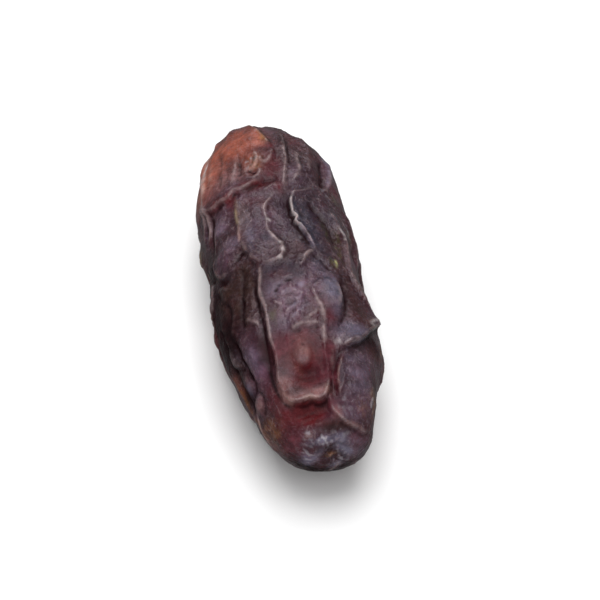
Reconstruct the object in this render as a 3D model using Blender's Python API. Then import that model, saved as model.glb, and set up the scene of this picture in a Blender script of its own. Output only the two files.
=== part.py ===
"""A dried mabroom date, lying on its side: one piece, with its folded and wrinkled skin.

The tip (the flower's end) points along -Y and the stem end along +Y. The date rests on the flat spot that
its own weight presses into its underside, at z = 0. Lengths below are in millimetres and angles in
degrees. A place on the skin is (s, a): s is the distance along the date from its tip, and a is the angle
round it from the top, positive towards +X. The mesh is made in metres.
"""

import math
from typing import NamedTuple

import bpy
import numpy as np
from mathutils import Vector, noise

MM = 0.001

# Main form
LENGTH = 62.0
FLATNESS = 0.88  # height of the cross-section over its width
SQUARENESS = 2.3  # power of the cross-section: 2 is an ellipse
BEND_MID = 0.6  # how far the ends stand towards +X of the middle
BEND_S = 0.1  # how far the two halves swing to opposite sides
FLAT_DEPTH = 0.3  # how deep the flat spot under the date is pressed in

# Half width of the date at distances from its tip, and how many points its smooth curve has
PROFILE_STEPS = 1200
PROFILE = (
    (0.0, 0.0),
    (0.45, 3.1),
    (2.2, 5.4),
    (5.6, 7.1),
    (10.5, 8.75),
    (16.5, 10.35),
    (22.5, 11.0),
    (30.0, 10.7),
    (39.0, 10.55),
    (47.5, 10.35),
    (54.0, 9.1),
    (58.6, 6.7),
    (61.2, 3.5),
    (62.0, 0.0),
)

# The mesh. Its columns crowd towards the top of the date, where the most folds are. A fold is never made
# narrower than about FINEST, so that it spans the mesh's own spacing.
ROWS = 99
COLUMNS = 60
CROWDING = 0.35
FINEST = 0.66


class Fold(NamedTuple):
    """A fold of the skin along a path of (s, a) places. It rises to a crest, or sinks to a groove if its
    rise is negative, and falls away over `left` and `right`, the two sides of someone who walks the path.
    `cut` is the depth of the crease along the foot of its steeper side."""

    path: tuple
    rise: float
    left: float
    right: float
    cut: float = 0.0


class Swell(NamedTuple):
    """A soft oval swelling, or a hollow if its rise is negative."""

    s: float
    a: float
    rise: float
    along: float
    around: float


# A fold that runs towards the stem has -X on its left. One that runs towards +X has the stem on its left.
STEM_LOBES = (
    # the left lobe's overhanging edge, and the line across the valley under it
    Fold(((44.1, -66), (42.9, -62), (41.9, -55), (41.3, -47), (41.4, -41), (41.3, -35), (42, -30),
          (41.9, -25), (42.1, -20), (42.6, -15), (43.2, -10), (43.9, -6)), 0.45, 2.4, 0.4, 0.16),
    Fold(((40.4, -12), (41, -5), (41.8, 0), (40.6, 3), (38.9, 6.5)), 0.2, 0.5, 0.4),
    # the left lobe's pleats
    Fold(((49.6, -24), (47.3, -26), (45.4, -28), (43.6, -29), (42.6, -30)), 0.24, 0.4, 0.7, 0.12),
    Fold(((50.8, -22.5), (48.4, -22), (46, -22), (44.3, -24)), -0.22, 0.4, 0.6),
    Fold(((53.5, -41), (49.9, -38.5), (46.9, -39), (44.5, -40), (42.6, -40)), -0.25, 0.5, 0.5),
    Fold(((50.5, -34), (47, -33), (44.4, -34), (42.8, -35)), -0.18, 0.4, 0.4),
    Fold(((48.7, -36.5), (45.9, -37), (43.6, -36)), 0.14, 0.4, 0.4),
    Fold(((47.9, -19), (45.2, -18), (43.4, -17)), 0.2, 0.4, 0.4),
    Fold(((52, -51), (48, -49), (45, -49)), 0.16, 0.6, 0.5, 0.06),
    Fold(((50, -58), (47, -57), (44.6, -57)), 0.14, 0.5, 0.5),
    # the knot where the left lobe's pleats meet
    Fold(((50.8, -10), (48.3, -7.5), (47.1, -4), (47.2, 0), (48.3, 4), (50.4, 6)), 0.28, 0.9, 0.35, 0.14),
    Fold(((49.6, -9.5), (47.9, -8.5), (46.6, -11.5), (45.9, -15.5)), 0.26, 0.4, 0.35),
    Fold(((45.9, -6.5), (44.7, -8), (43.8, -12), (43.4, -15)), 0.22, 0.35, 0.35),
    Fold(((45.8, -17.5), (45.2, -14), (44.4, -11)), -0.3, 0.4, 0.4),
    Fold(((49.8, -15), (48.2, -13.5), (46.9, -15.5)), 0.16, 0.35, 0.3),
    Fold(((51.4, -11), (50, -12), (49, -14.5)), 0.14, 0.35, 0.3),
    # the left lobe's edge over the right lobe
    Fold(((59, -14), (57.5, -9), (55, -3), (52.9, 2), (50.8, 4.5)), 0.5, 0.4, 1.8, 0.25),
    # the seam between the lobes
    Fold(((39.9, 9), (41.4, 8.5), (43.1, 9.5), (45, 11.5), (47.9, 15), (50.3, 16), (53.6, 18.5), (56.5, 19)),
         0.35, 0.7, 0.3, 0.28),
    # the right lobe's lower edge, its curl and its far hollow
    Fold(((39.8, 9), (40, 13), (40.3, 20), (40.9, 26), (41.5, 32)), 0.28, 0.4, 0.9, 0.15),
    Fold(((42.2, 13), (42.9, 18), (44, 21), (45.4, 23.5), (46.9, 23.5), (49.5, 25.5)),
         0.28, 0.45, 0.45, 0.1),
    Fold(((49.2, 49), (46.2, 45), (43.7, 43), (41.8, 40)), -0.6, 0.8, 0.8),
    Fold(((51, 61), (47.7, 56), (44.6, 51), (42.6, 46), (41.2, 41)), 0.4, 0.7, 0.45),
    Fold(((56, 34), (52, 36), (48, 34), (44, 31)), 0.3, 0.8, 0.6, 0.15),
    # the left lobe's outer edge
    Fold(((43, -60), (46.5, -58), (49, -61), (52.5, -66), (56, -60)), 0.4, 0.5, 0.8, 0.15),
)

MIDDLE = (
    # the wavy fold beside the smooth panel
    Fold(((26.2, -21), (26.6, -15), (26.9, -8), (27.8, -4.5), (29.5, -3.5), (31.2, -8), (32.6, -11),
          (34.7, -10), (37.2, -10), (38.3, -7), (39.6, -2.5), (40.7, 0)), 0.34, 0.55, 0.35, 0.08),
    # the sharp fold across the trough from it, and the hook at its foot
    Fold(((28.2, 20), (30, 17.5), (31.8, 15), (33, 13), (33.5, 11.3), (34.2, 10.3), (34.6, 12), (35.1, 11.7),
          (35.5, 10), (36.5, 10), (38, 10.3), (39.6, 13)), 0.48, 0.26, 0.3, 0.45),
    Fold(((28, 18), (27.8, 15), (27.2, 12), (26.4, 9.5), (25.5, 7.5), (24.5, 3)), 0.3, 0.35, 0.45, 0.08),
    Fold(((27.7, 8.5), (26.5, 5), (25.4, 2.5), (24.2, 0)), 0.18, 0.35, 0.4),
    Fold(((27.3, 14.5), (26.7, 19), (25.6, 23), (24, 27)), -0.35, 0.6, 0.8),
    # small wrinkles on the smooth panel
    Fold(((30.5, -24), (29.3, -18), (28.4, -13), (28.9, -8)), 0.14, 0.4, 0.3, 0.06),
    Fold(((29.2, -25), (28, -19), (27.5, -14)), 0.12, 0.35, 0.35, 0.04),
    Fold(((37.9, -21), (35, -22), (32.5, -21.5)), -0.1, 0.6, 0.6),
    # the smooth panel's far edges
    Fold(((32.6, -34), (34.2, -32), (36, -30.5), (37.5, -31), (39.2, -29.5), (41.6, -29)), 0.32, 0.35, 0.4),
    Fold(((31.6, -31), (29.7, -28.5), (28.4, -26), (27.2, -22.5), (26.2, -21)), 0.3, 0.8, 0.35, 0.2),
    # the trough under it
    Fold(((18, -34), (20, -34.5), (22.5, -34.5), (25.2, -33.5), (28, -31)), -0.45, 1.2, 1.1),
    Fold(((28.6, -38), (29.8, -34), (29.6, -30), (28.4, -27)), -0.3, 0.35, 0.45),
    Fold(((28.3, -35), (26.5, -35.5), (24.9, -36), (23, -38.5), (21.6, -40), (19.8, -42)),
         -0.16, 0.35, 0.35),
    Fold(((26.9, -30), (23.4, -32), (20.9, -34), (19.1, -36), (17.9, -37.5)), 0.14, 0.4, 0.4),
    Fold(((18.6, -40), (17.7, -36), (17, -32)), 0.2, 0.5, 0.3, 0.12),
    Fold(((24.5, -26.5), (21.6, -29), (19.9, -29), (18, -30), (16, -31), (15, -32), (13.6, -34), (12.2, -36),
          (10.9, -37.5), (9.3, -40)), -0.26, 0.3, 0.35),
    # the long rail down the left of the middle panel, the tongue that it ends in, and the way back up
    Fold(((5.5, -32), (7, -34), (8.8, -34), (10.5, -31), (12.5, -28.5), (14.6, -28), (16.8, -26), (19, -25),
          (21.3, -26), (22.7, -25), (24.4, -23), (26, -21)), 0.42, 0.35, 0.7, 0.22),
    Fold(((6.8, -34), (5.6, -30), (5.3, -21), (5.5, -13), (5.1, -5), (5.2, 0), (5.9, 4.5), (7, 8),
          (8.2, 9.5)), 0.55, 0.75, 0.3, 0.24),
    Fold(((3.4, -38), (3.1, -29), (3.2, -20), (3, -11)), 0.14, 0.3, 0.35, 0.05),
    Fold(((2.5, -42), (2.3, -30), (2.4, -18), (2.1, -6)), 0.12, 0.3, 0.35, 0.05),
    Fold(((1.9, -40), (1.4, -33), (1.5, -24)), 0.14, 0.4, 0.4),
    Fold(((7, 8), (8.5, 9.5), (10, 9.5), (12.2, 10), (14, 11), (16, 12.5)), 0.32, 0.4, 0.4, 0.06),
    Fold(((16, 12.8), (17.3, 13), (18.5, 11), (19.8, 9.5), (21.4, 8)), 0.25, 0.4, 0.4),
    # the hood over the tongue, and the lower edge of the tongue's knob
    Fold(((14.7, -14), (15.1, -8), (15.3, -3), (15.2, 2), (15.1, 8), (14.8, 11)), 0.26, 0.9, 0.35, 0.14),
    Fold(((11.2, -14.5), (10.2, -13), (9.9, -9), (10.2, -6), (11, -4)), 0.18, 0.8, 0.35, 0.06),
    # ripples over the middle panel
    Fold(((20.7, -17), (21.5, -14), (22.2, -11), (22.6, -7), (22.3, -2)), -0.24, 0.35, 0.35),
    Fold(((20.3, -14), (20.7, -8), (20.5, -3), (20, 2), (20.4, 6)), 0.2, 0.45, 0.3, 0.06),
    Fold(((19.1, -14), (19.5, -7), (19.2, -3), (19.5, 3)), 0.18, 0.4, 0.3, 0.05),
    Fold(((17.4, -12), (18.2, -6), (18.6, -1), (18.9, 4)), 0.17, 0.4, 0.3, 0.05),
    Fold(((16.4, -10), (17, -5), (17.7, -1), (18.1, 4)), 0.17, 0.4, 0.3, 0.05),
    Fold(((15.9, -2), (16.1, 2), (16.5, 6), (17.2, 11)), 0.16, 0.4, 0.35, 0.05),
    Fold(((21.8, -13), (22.8, -8), (23.3, -4), (23, 0)), 0.18, 0.4, 0.3, 0.06),
    Fold(((23.4, -16), (24.2, -11), (24.4, -5)), 0.12, 0.35, 0.3, 0.05),
    Fold(((25.2, -16), (25.7, -11), (25.4, -6)), -0.16, 0.4, 0.4),
    Fold(((18.1, -19), (17.2, -17), (16.4, -16)), 0.12, 0.3, 0.35, 0.05),
    Fold(((19.6, -19), (19, -16), (18.8, -12)), 0.12, 0.35, 0.3, 0.05),
    Fold(((12.6, -11), (13, -7), (12.7, -2)), 0.12, 0.35, 0.3, 0.08),
    Fold(((13.7, -12), (13.9, -6), (13.7, 0)), 0.12, 0.3, 0.3, 0.08),
    Fold(((11.6, -12), (11.8, -8), (11.6, -3)), 0.1, 0.3, 0.3, 0.06),
    Fold(((9.6, 2), (8.6, 3), (7.6, 1)), 0.12, 0.3, 0.3, 0.06),
    Fold(((20.8, 10), (21.8, 15), (22.5, 19)), 0.18, 0.4, 0.35),
    Fold(((19.7, 7), (20.1, 12), (20.3, 16)), 0.18, 0.35, 0.35),
)

RIGHT = (
    # the bulge's rim and the valley round it
    Fold(((17.2, 22), (18.2, 26), (19.8, 28.5), (21, 29), (22.4, 28)), 0.3, 1.2, 0.45, 0.1),
    Fold(((24, 34), (22, 32.5), (20.4, 32.5), (18.8, 32), (17.1, 30), (15.8, 27), (14.5, 22), (13.3, 17.5)),
         -0.5, 0.8, 0.8),
    # the thick fold that stands out, with a sharp crease along its top
    Fold(((11.6, 18), (11.9, 24), (12.5, 31), (13.1, 38), (14.1, 44), (15.5, 51), (17.3, 62), (18.8, 72),
          (19.8, 84)), 0.8, 1.9, 0.4, 0.35),
    Fold(((15.9, 44), (16.6, 50), (17.8, 58), (19.2, 70)), 0.25, 0.4, 0.4),
    Fold(((16, 22.5), (14.4, 20.5), (13.2, 17.5), (12, 18)), 0.28, 0.6, 0.4, 0.05),
    # the panel under it: its steep left edge and its lower edge
    Fold(((4.6, 21), (5.5, 17.6), (6.5, 16.6), (8, 17.4), (9, 19.4), (9.9, 22), (11.1, 25.5)),
         0.16, 0.3, 0.8, 0.3),
    Fold(((6.4, 10.5), (5.3, 7.5), (4.5, 7), (3.6, 9), (3, 13), (2.5, 18), (2.1, 27), (1.9, 38), (1.8, 52),
          (2.3, 75)), 0.26, 1.8, 0.25, 0.18),
    Fold(((5, 55), (6.2, 54.5), (7.6, 53)), 0.25, 0.4, 0.4),
    Fold(((9.6, 33), (8.4, 33.5), (7.4, 32)), -0.2, 0.4, 0.4),
    # the rim where the top turns down into the side, and the groove along it
    Fold(((18.4, 62), (19.5, 56), (20.5, 52), (21.4, 48.5), (22.6, 46), (24, 44.5), (25.8, 44.5), (28, 46.5),
          (30.5, 49), (32.6, 50), (34, 46)), 0.38, 0.4, 1.0, 0.22),
    Fold(((38.6, 23), (37.1, 26), (35.8, 29), (34.5, 32.5), (32.9, 36), (31.2, 37.5), (29, 37)),
         -0.45, 0.7, 0.8),
    Fold(((37, 40), (34.5, 43), (32, 44)), 0.25, 0.6, 0.5, 0.1),
    Fold(((40, 62), (36, 63), (32, 66), (28, 66)), 0.4, 0.9, 0.6, 0.2),
)

LEFT = (
    # the low flank: its long panel's edges, and the creases round its three pillows
    Fold(((17.8, -58), (15.4, -57), (14.2, -58.5), (12.8, -58), (11.8, -59.5), (10.6, -58.5)),
         -0.5, 0.4, 0.45),
    Fold(((12.3, -60), (11.3, -59), (10.3, -59.5), (9.6, -63), (9.3, -70), (9.6, -79)), -0.3, 0.4, 0.35),
    Fold(((9.7, -62), (8.6, -57.5), (7.5, -58.5), (6.7, -65), (6.6, -73)), -0.28, 0.35, 0.4),
    Fold(((15, -77), (14.1, -71), (13.4, -65), (12.9, -60)), -0.35, 0.4, 0.4),
    Fold(((15.5, -76), (13.4, -75), (12.3, -77), (11, -79), (9.5, -80), (7.7, -84)), -0.35, 0.4, 0.5),
    Fold(((21.5, -72), (19.5, -69), (18, -69), (16.4, -72), (15, -76)), -0.5, 0.45, 0.5),
    # the middle flank: long creases beside the trough, and the ridges between them
    Fold(((22.5, -39), (20.1, -41.5), (18.6, -43), (17, -45)), -0.4, 0.45, 0.45),
    Fold(((21, -48), (19.5, -50), (17.3, -55)), 0.14, 0.6, 0.6),
    Fold(((27.2, -65), (25.5, -61), (23.7, -56), (22.3, -52), (20, -53), (18, -57)), -0.35, 0.5, 0.5),
    Fold(((27.1, -62), (26.5, -57), (25.6, -51), (24.6, -47)), 0.32, 0.4, 0.9, 0.15),
    Fold(((31.4, -77), (28.7, -70.5), (27.1, -72), (25.5, -77), (23.5, -82)), 0.42, 0.45, 0.45, 0.15),
    Fold(((35.1, -88), (31.5, -76), (28.9, -66)), -0.4, 0.6, 0.6),
    # the upper flank's pillow and the ridges and hollows over it
    Fold(((33, -60), (31.2, -61.5), (29.3, -58), (28, -52), (28.1, -44)), 0.3, 1.0, 0.35, 0.28),
    Fold(((41.3, -54), (38.9, -56), (36.9, -60), (34.5, -60.5), (32.9, -62.5)), -0.4, 0.4, 0.45),
    Fold(((43.6, -58.5), (42, -58), (40.1, -59), (38.5, -60), (37.3, -64)), 0.36, 0.4, 0.4, 0.1),
    Fold(((37.5, -51), (35.5, -53), (34, -55.5), (32.6, -57)), 0.3, 0.45, 0.45),
    Fold(((44.6, -61), (42.5, -62.5), (40, -66), (37.5, -71)), 0.36, 0.45, 0.5, 0.15),
    Fold(((40.6, -40), (38.5, -43), (36.5, -44)), 0.2, 0.6, 0.5),
    Fold(((33.7, -82), (36.3, -88), (38.9, -93), (41.5, -95)), 0.45, 0.5, 0.8, 0.2),
    # the thin edge along the lower left outline
    Fold(((3.4, -118), (3.8, -107), (4.8, -97), (6, -90), (8.4, -89), (11.6, -89), (15.1, -86.5), (18, -88)),
         0.35, 0.5, 0.6, 0.2),
)

SWELLS = (
    Swell(34.5, -20, 0.35, 6.5, 1.6),  # the smooth panel
    Swell(34, 1, -0.35, 5.5, 1.5),  # the trough beside it
    Swell(42.7, -3, -0.35, 0.9, 1.6),  # the valley under the left lobe
    Swell(49.5, 0, 0.3, 1.5, 1.0),
    Swell(44, 16, 0.35, 1.6, 0.9),  # the right lobe's bump
    Swell(57.5, -14, 0.3, 3.0, 3.0),  # the left lobe's crown
    Swell(19.7, 21, 0.5, 2.6, 1.3),  # the bulge on the middle panel
    Swell(11, -9, 0.35, 1.5, 1.0),  # the tongue's knob
    Swell(8.4, -8, -0.55, 1.2, 2.0),  # the hollow under it
    Swell(7, -28, 0.25, 1.0, 0.7),
    Swell(3.6, -18, -0.6, 1.3, 3.0),  # the recess under the tongue
    Swell(7.5, 38, 0.35, 3.2, 2.6),  # the panel under the thick fold
    Swell(16, 34, 0.3, 1.8, 1.6),
    Swell(24.5, 78, -1.25, 6.5, 4.5),  # the right flank's long hollow
    Swell(8.5, 95, -0.6, 4.5, 3.5),
    Swell(56, 48, -0.45, 3.5, 4.0),
    Swell(13.6, -48, 0.45, 3.6, 1.5),  # the left flank's panel
    Swell(15.2, -66, 0.5, 1.5, 0.9),  # its three pillows
    Swell(11.3, -67, 0.35, 1.4, 0.9),
    Swell(8.0, -66, 0.35, 1.3, 1.0),
    Swell(30.8, -47, 0.5, 2.4, 1.9),  # the upper flank's pillow
    Swell(36, -46, 0.25, 2.6, 1.5),
    Swell(24.2, -56, 0.3, 1.5, 1.3),
    Swell(19, -62, 0.25, 2.0, 1.4),
    Swell(38, -92, 0.35, 2.0, 1.5),
    Swell(25, -106, -0.5, 10.0, 4.0),  # the left outline
    Swell(14, -114, -0.65, 5.0, 4.0),
)

# The skin that the folds above don't reach: folds at random places, round the sides and underneath. Long
# ones run along the date and short ones across it. A pair of numbers is the range of a random draw.
STRAY_SEED = 7
STRAYS_ALONG = 60
STRAYS_ACROSS = 26
STRAY_START = (2.0, 50.0)
STRAY_STEP = 2.0
LONG_SPAN = (8.0, 24.0)
SHORT_SPAN = (2.0, 6.0)
LONG_RISE = (0.3, 0.65)
SHORT_RISE = (0.2, 0.4)
STEEP_SIDE = (0.35, 0.6)
GENTLE_SIDE = (0.7, 1.8)
GROOVE_SHARE = 0.25  # how many of them are grooves
FOLDS_MIDDLE = -8.0
HIDDEN_FROM = 96.0  # degrees either side of the middle of the folds above

# Soft lumps all over: how high they are and how far across
LUMPS = (0.4, 8.0)
SMALL_LUMPS = (0.12, 2.6)

# The scar at the tip: a point in a ring that is pressed in
TIP_SCAR = (0.1, -11.0)
SCAR_RISE = 0.12
SCAR_RADIUS = 0.4
RING_DEPTH = 0.2
RING_RADIUS = 0.75
RING_WIDTH = 0.45

# The stem end: a small pit where the stem was, with a lip, in a hollow ring of pleats
END_FROM = 48.0
END_FULL = 54.0
PIT_RADIUS = 1.0
PIT_DEPTH = 1.4
LIP_RISE = 0.3
LIP_RADIUS = 1.7
LIP_WIDTH = 0.5
HOLLOW_DEPTH = 0.7
HOLLOW_RADIUS = 3.4
PLEATS = 13
PLEAT_RISE = 0.35
PLEAT_REACH = 9.0


def smooth_curve(points, count):
    """A smooth curve through the points, as `count` rows spaced evenly along it."""
    given = np.array(points, float)
    gaps = np.linalg.norm(np.diff(given, axis=0), axis=1) ** 0.75
    knots = np.concatenate([[0.0], np.cumsum(gaps)])
    slopes = np.gradient(given, knots, axis=0)
    fine = np.linspace(0.0, knots[-1], 40 * len(given))
    i = np.clip(np.searchsorted(knots, fine, side="right") - 1, 0, len(given) - 2)
    span = (knots[i + 1] - knots[i])[:, None]
    t = (fine - knots[i])[:, None] / span
    curve = (
        (1 + 2 * t) * (1 - t) ** 2 * given[i]
        + t * (1 - t) ** 2 * span * slopes[i]
        + t * t * (3 - 2 * t) * given[i + 1]
        + t * t * (t - 1) * span * slopes[i + 1]
    )
    length = np.concatenate([[0.0], np.cumsum(np.linalg.norm(np.diff(curve, axis=0), axis=1))])
    even = np.linspace(0.0, length[-1], count)
    return np.stack([np.interp(even, length, column) for column in curve.T], axis=1)


def profile():
    """Rows of (distance from the tip, half width), from end to end."""
    rows = smooth_curve(PROFILE, PROFILE_STEPS)
    rows[:, 0] = np.maximum.accumulate(np.clip(rows[:, 0], 0.0, LENGTH))
    rows[:, 1] = np.maximum(rows[:, 1], 0.0)
    return rows


OUTLINE = profile()
AXIS_HEIGHT = OUTLINE[:, 1].max() * FLATNESS - FLAT_DEPTH


def form_point(s, half_width, angle):
    """Places on the smooth form, before any fold. The angle is in radians."""
    t = 2.0 * s / LENGTH - 1.0
    across, up = np.sin(angle), np.cos(angle)
    reach = (np.abs(across) ** SQUARENESS + np.abs(up) ** SQUARENESS) ** (-1.0 / SQUARENESS)
    bend = BEND_MID * (t * t - 0.33) - BEND_S * (t**3 - 0.6 * t)
    x = half_width * across * reach + bend
    y = s - LENGTH / 2
    z = AXIS_HEIGHT + half_width * FLATNESS * up * reach
    return np.stack(np.broadcast_arrays(x, y, z), axis=-1)


def form_grid(rows, columns):
    """The smooth form as a grid: its (s, a) places, points and outward normals. Its first and last rows are
    the two ends."""
    length = np.concatenate([[0.0], np.cumsum(np.linalg.norm(np.diff(OUTLINE, axis=0), axis=1))])
    even = np.linspace(0.0, length[-1], rows)
    s = np.interp(even, length, OUTLINE[:, 0])[:, None]
    half_width = np.interp(even, length, OUTLINE[:, 1])[:, None]
    angle = (2.0 * math.pi * np.arange(columns) / columns)[None, :]
    angle = angle - CROWDING * np.sin(angle)
    points = form_point(s, half_width, angle)
    along = np.gradient(points, axis=0)
    around = np.roll(points, -1, axis=1) - np.roll(points, 1, axis=1)
    normals = np.cross(around, along)
    normals[0] = (0.0, -1.0, 0.0)
    normals[-1] = (0.0, 1.0, 0.0)
    normals /= np.linalg.norm(normals, axis=-1, keepdims=True)
    return s + 0.0 * angle, angle + 0.0 * s, points, normals


def on_form(places):
    """Points of the smooth form at (s, a) places in millimetres and degrees."""
    s, a = np.array(places, float).T
    return form_point(s, np.interp(s, OUTLINE[:, 0], OUTLINE[:, 1]), np.radians(a))


def crest(distance, width, finest):
    """1 on a fold's line, falling away on either side, like a sheet hung over a thin wire."""
    rounded = np.sqrt(distance**2 + (0.7 * finest) ** 2) - 0.7 * finest
    return np.exp(-rounded / width)


def beside(places, points, normals, reach):
    """Which points lie near a path of (s, a) places, and for each of them the distance to the path (less
    than 0 on its right) and how far along the path it lies, from 0 to 1."""
    path = smooth_curve(on_form(places), 6 * len(places))
    near = np.all((points > path.min(0) - reach) & (points < path.max(0) + reach), axis=1)
    p, n = points[near], normals[near]
    steps = np.diff(path, axis=0)
    best = np.full(len(p), np.inf)
    signed = np.zeros(len(p))
    travel = np.zeros(len(p))
    for i, (start, step) in enumerate(zip(path[:-1], steps)):
        t = np.clip((p - start) @ step / (step @ step), 0.0, 1.0)
        away = p - start - t[:, None] * step
        distance = np.linalg.norm(away, axis=1)
        closer = distance < best
        side = np.where(np.einsum("ij,ij->i", np.cross(step, away), n) < 0.0, -1.0, 1.0)
        best[closer] = distance[closer]
        signed[closer] = (side * distance)[closer]
        travel[closer] = (i + t[closer]) / len(steps)
    return near, signed, travel


def fold_offset(fold, points, normals, finest):
    """How far a fold moves each point along its normal."""
    offset = np.zeros(len(points))
    reach = 4.0 * max(fold.left, fold.right, finest.max()) + 1.0
    near, signed, travel = beside(fold.path, points, normals, reach)
    ease = np.clip(np.minimum(travel, 1.0 - travel) * 5.0, 0.0, 1.0)
    ease = 0.15 + 0.85 * ease * ease * (3.0 - 2.0 * ease)
    left, right = np.maximum(fold.left, finest[near]), np.maximum(fold.right, finest[near])
    height = fold.rise * crest(np.abs(signed), np.where(signed > 0.0, left, right), finest[near])
    if fold.cut:
        steep, facing = (left, 1.0) if fold.left < fold.right else (right, -1.0)
        foot = np.maximum(signed * facing, 0.0) / (2.0 * steep)
        height -= fold.cut * (foot * np.exp(1.0 - foot)) ** 2
    offset[near] = height * ease
    return offset


def swell_offset(swell, points):
    """How far a swelling moves each point."""
    centre = on_form([(swell.s, swell.a)])[0]
    ahead = on_form([(swell.s + 0.5, swell.a)])[0] - centre
    aside = on_form([(swell.s, swell.a + 3.0)])[0] - centre
    ahead /= np.linalg.norm(ahead)
    aside -= ahead * (aside @ ahead)
    aside /= np.linalg.norm(aside)
    away = points - centre
    u = away @ ahead / swell.along
    v = away @ aside / swell.around
    through = away @ np.cross(ahead, aside) / (swell.along + swell.around)
    return swell.rise * np.exp(-((u * u + v * v) ** 1.25) - through**2)


def noise_at(points, size, shift=0.0):
    """Smooth noise between about -1 and 1, with lumps about `size` across."""
    scaled = points / size + shift
    return np.array([noise.noise(Vector(p)) for p in scaled])


def stray_folds():
    """Folds at random places: long ones that run along the date, and short ones across it."""
    chance = np.random.default_rng(STRAY_SEED)
    folds = []
    for i in range(STRAYS_ALONG + STRAYS_ACROSS):
        across = i >= STRAYS_ALONG
        s = chance.uniform(*STRAY_START)
        a = FOLDS_MIDDLE + chance.uniform(HIDDEN_FROM, 360.0 - HIDDEN_FROM)
        span = chance.uniform(*(SHORT_SPAN if across else LONG_SPAN))
        heading = math.radians(chance.uniform(55.0, 125.0) if across else chance.normal(0.0, 9.0))
        straighten = 0.0 if across else 0.4
        path = []
        while span > 0.0 and 1.0 < s < LENGTH - 3.0:
            path.append((s, a))
            half_width = np.interp(s, OUTLINE[:, 0], OUTLINE[:, 1])
            s += STRAY_STEP * math.cos(heading)
            a += math.degrees(STRAY_STEP * math.sin(heading) / half_width)
            heading += math.radians(chance.normal(0.0, 14.0)) - straighten * heading
            span -= STRAY_STEP
        steep, gentle = chance.uniform(*STEEP_SIDE), chance.uniform(*GENTLE_SIDE)
        left, right = (steep, gentle) if chance.random() < 0.5 else (gentle, steep)
        rise = chance.uniform(*(SHORT_RISE if across else LONG_RISE))
        cut = chance.uniform(0.3, 0.8) * rise
        if chance.random() < GROOVE_SHARE:
            rise, cut = -rise, 0.0
        if len(path) > 2:
            folds.append(Fold(tuple(path), rise, left, right, cut))
    return folds


def stem_end_offset(s, a, points):
    """The pit left by the stem, its lip, and the pleats that gather in towards it."""
    across = points[:, 0] - on_form([(LENGTH, 0.0)])[0][0]
    radius = np.hypot(across, points[:, 2] - AXIS_HEIGHT)
    at_end = np.clip((s - END_FROM) / (END_FULL - END_FROM), 0.0, 1.0)
    wander = noise_at(points, 6.0, 23.0)
    phase = PLEATS * a / 2.0 + 2.2 * wander + 0.9 * np.sin(2.0 * a + 1.0)
    pleats = PLEAT_RISE * (0.55 - np.abs(np.sin(phase)) ** 0.7) * np.clip((radius - 0.8) / 2.0, 0.0, 1.0)
    fade = np.exp(-((np.maximum(LENGTH - s, 0.0) / PLEAT_REACH) ** 2))
    hollow = -HOLLOW_DEPTH * np.exp(-((radius / HOLLOW_RADIUS) ** 2))
    pit = -PIT_DEPTH * np.exp(-((radius / PIT_RADIUS) ** 4))
    lip = LIP_RISE * np.exp(-(((radius - LIP_RADIUS) / LIP_WIDTH) ** 2))
    return at_end * (pleats * fade + hollow + pit + lip)


def tip_offset(points):
    """The small scar at the tip where the flower's style was."""
    radius = np.linalg.norm(points - on_form([TIP_SCAR])[0], axis=1)
    scar = SCAR_RISE * np.exp(-((radius / SCAR_RADIUS) ** 2))
    return scar - RING_DEPTH * np.exp(-(((radius - RING_RADIUS) / RING_WIDTH) ** 2))


def date_points(rows, columns, finest):
    """The skin's points, in millimetres, as a grid from the tip's end to the stem's."""
    s, a, form, normals = form_grid(rows, columns)
    s, a = s.ravel(), a.ravel()
    points, out = form.reshape(-1, 3), normals.reshape(-1, 3)
    finest = finest * np.sqrt(1.0 - CROWDING * np.cos(a))
    offset = LUMPS[0] * noise_at(points, LUMPS[1]) + SMALL_LUMPS[0] * noise_at(points, SMALL_LUMPS[1], 5.0)
    for fold in STEM_LOBES + MIDDLE + RIGHT + LEFT + tuple(stray_folds()):
        offset += fold_offset(fold, points, out, finest)
    for swell in SWELLS:
        offset += swell_offset(swell, points)
    offset += stem_end_offset(s, a, points) + tip_offset(points)
    points = points + out * offset[:, None]
    points[:, 2] = np.maximum(points[:, 2], 0.0)
    return points.reshape(rows, columns, 3)


def middle(grid):
    """Where the middle of the date's bounds is, seen from above."""
    corners = grid.reshape(-1, 3)
    low, high = corners.min(axis=0), corners.max(axis=0)
    return np.array([(low[0] + high[0]) / 2, (low[1] + high[1]) / 2, 0.0])


def skin_mesh(name, grid):
    """A closed mesh from a grid in millimetres, with its first and last rows drawn in to one point each."""
    rows, columns = grid.shape[:2]
    grid = grid * MM
    points = [tuple(grid[0, 0])] + [tuple(p) for row in grid[1:-1] for p in row] + [tuple(grid[-1, 0])]
    last = len(points) - 1
    faces = []
    for j in range(columns):
        k = (j + 1) % columns
        faces.append((0, 1 + k, 1 + j))
        faces.append((last, last - columns + j, last - columns + k))
        for i in range(rows - 3):
            low, high = 1 + i * columns, 1 + (i + 1) * columns
            faces.append((low + j, low + k, high + k, high + j))
    mesh = bpy.data.meshes.new(name)
    mesh.from_pydata(points, [], faces)
    mesh.validate()
    mesh.shade_smooth()
    return mesh


def skin_material():
    """Dark, satin red-brown fruit skin."""
    material = bpy.data.materials.new("date_skin")
    material.use_nodes = True
    shader = material.node_tree.nodes["Principled BSDF"]
    shader.inputs["Base Color"].default_value = (0.085, 0.022, 0.016, 1.0)
    shader.inputs["Roughness"].default_value = 0.38
    shader.inputs["Metallic"].default_value = 0.0
    return material


def clear_scene():
    for old in list(bpy.data.objects):
        bpy.data.objects.remove(old, do_unlink=True)


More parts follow.
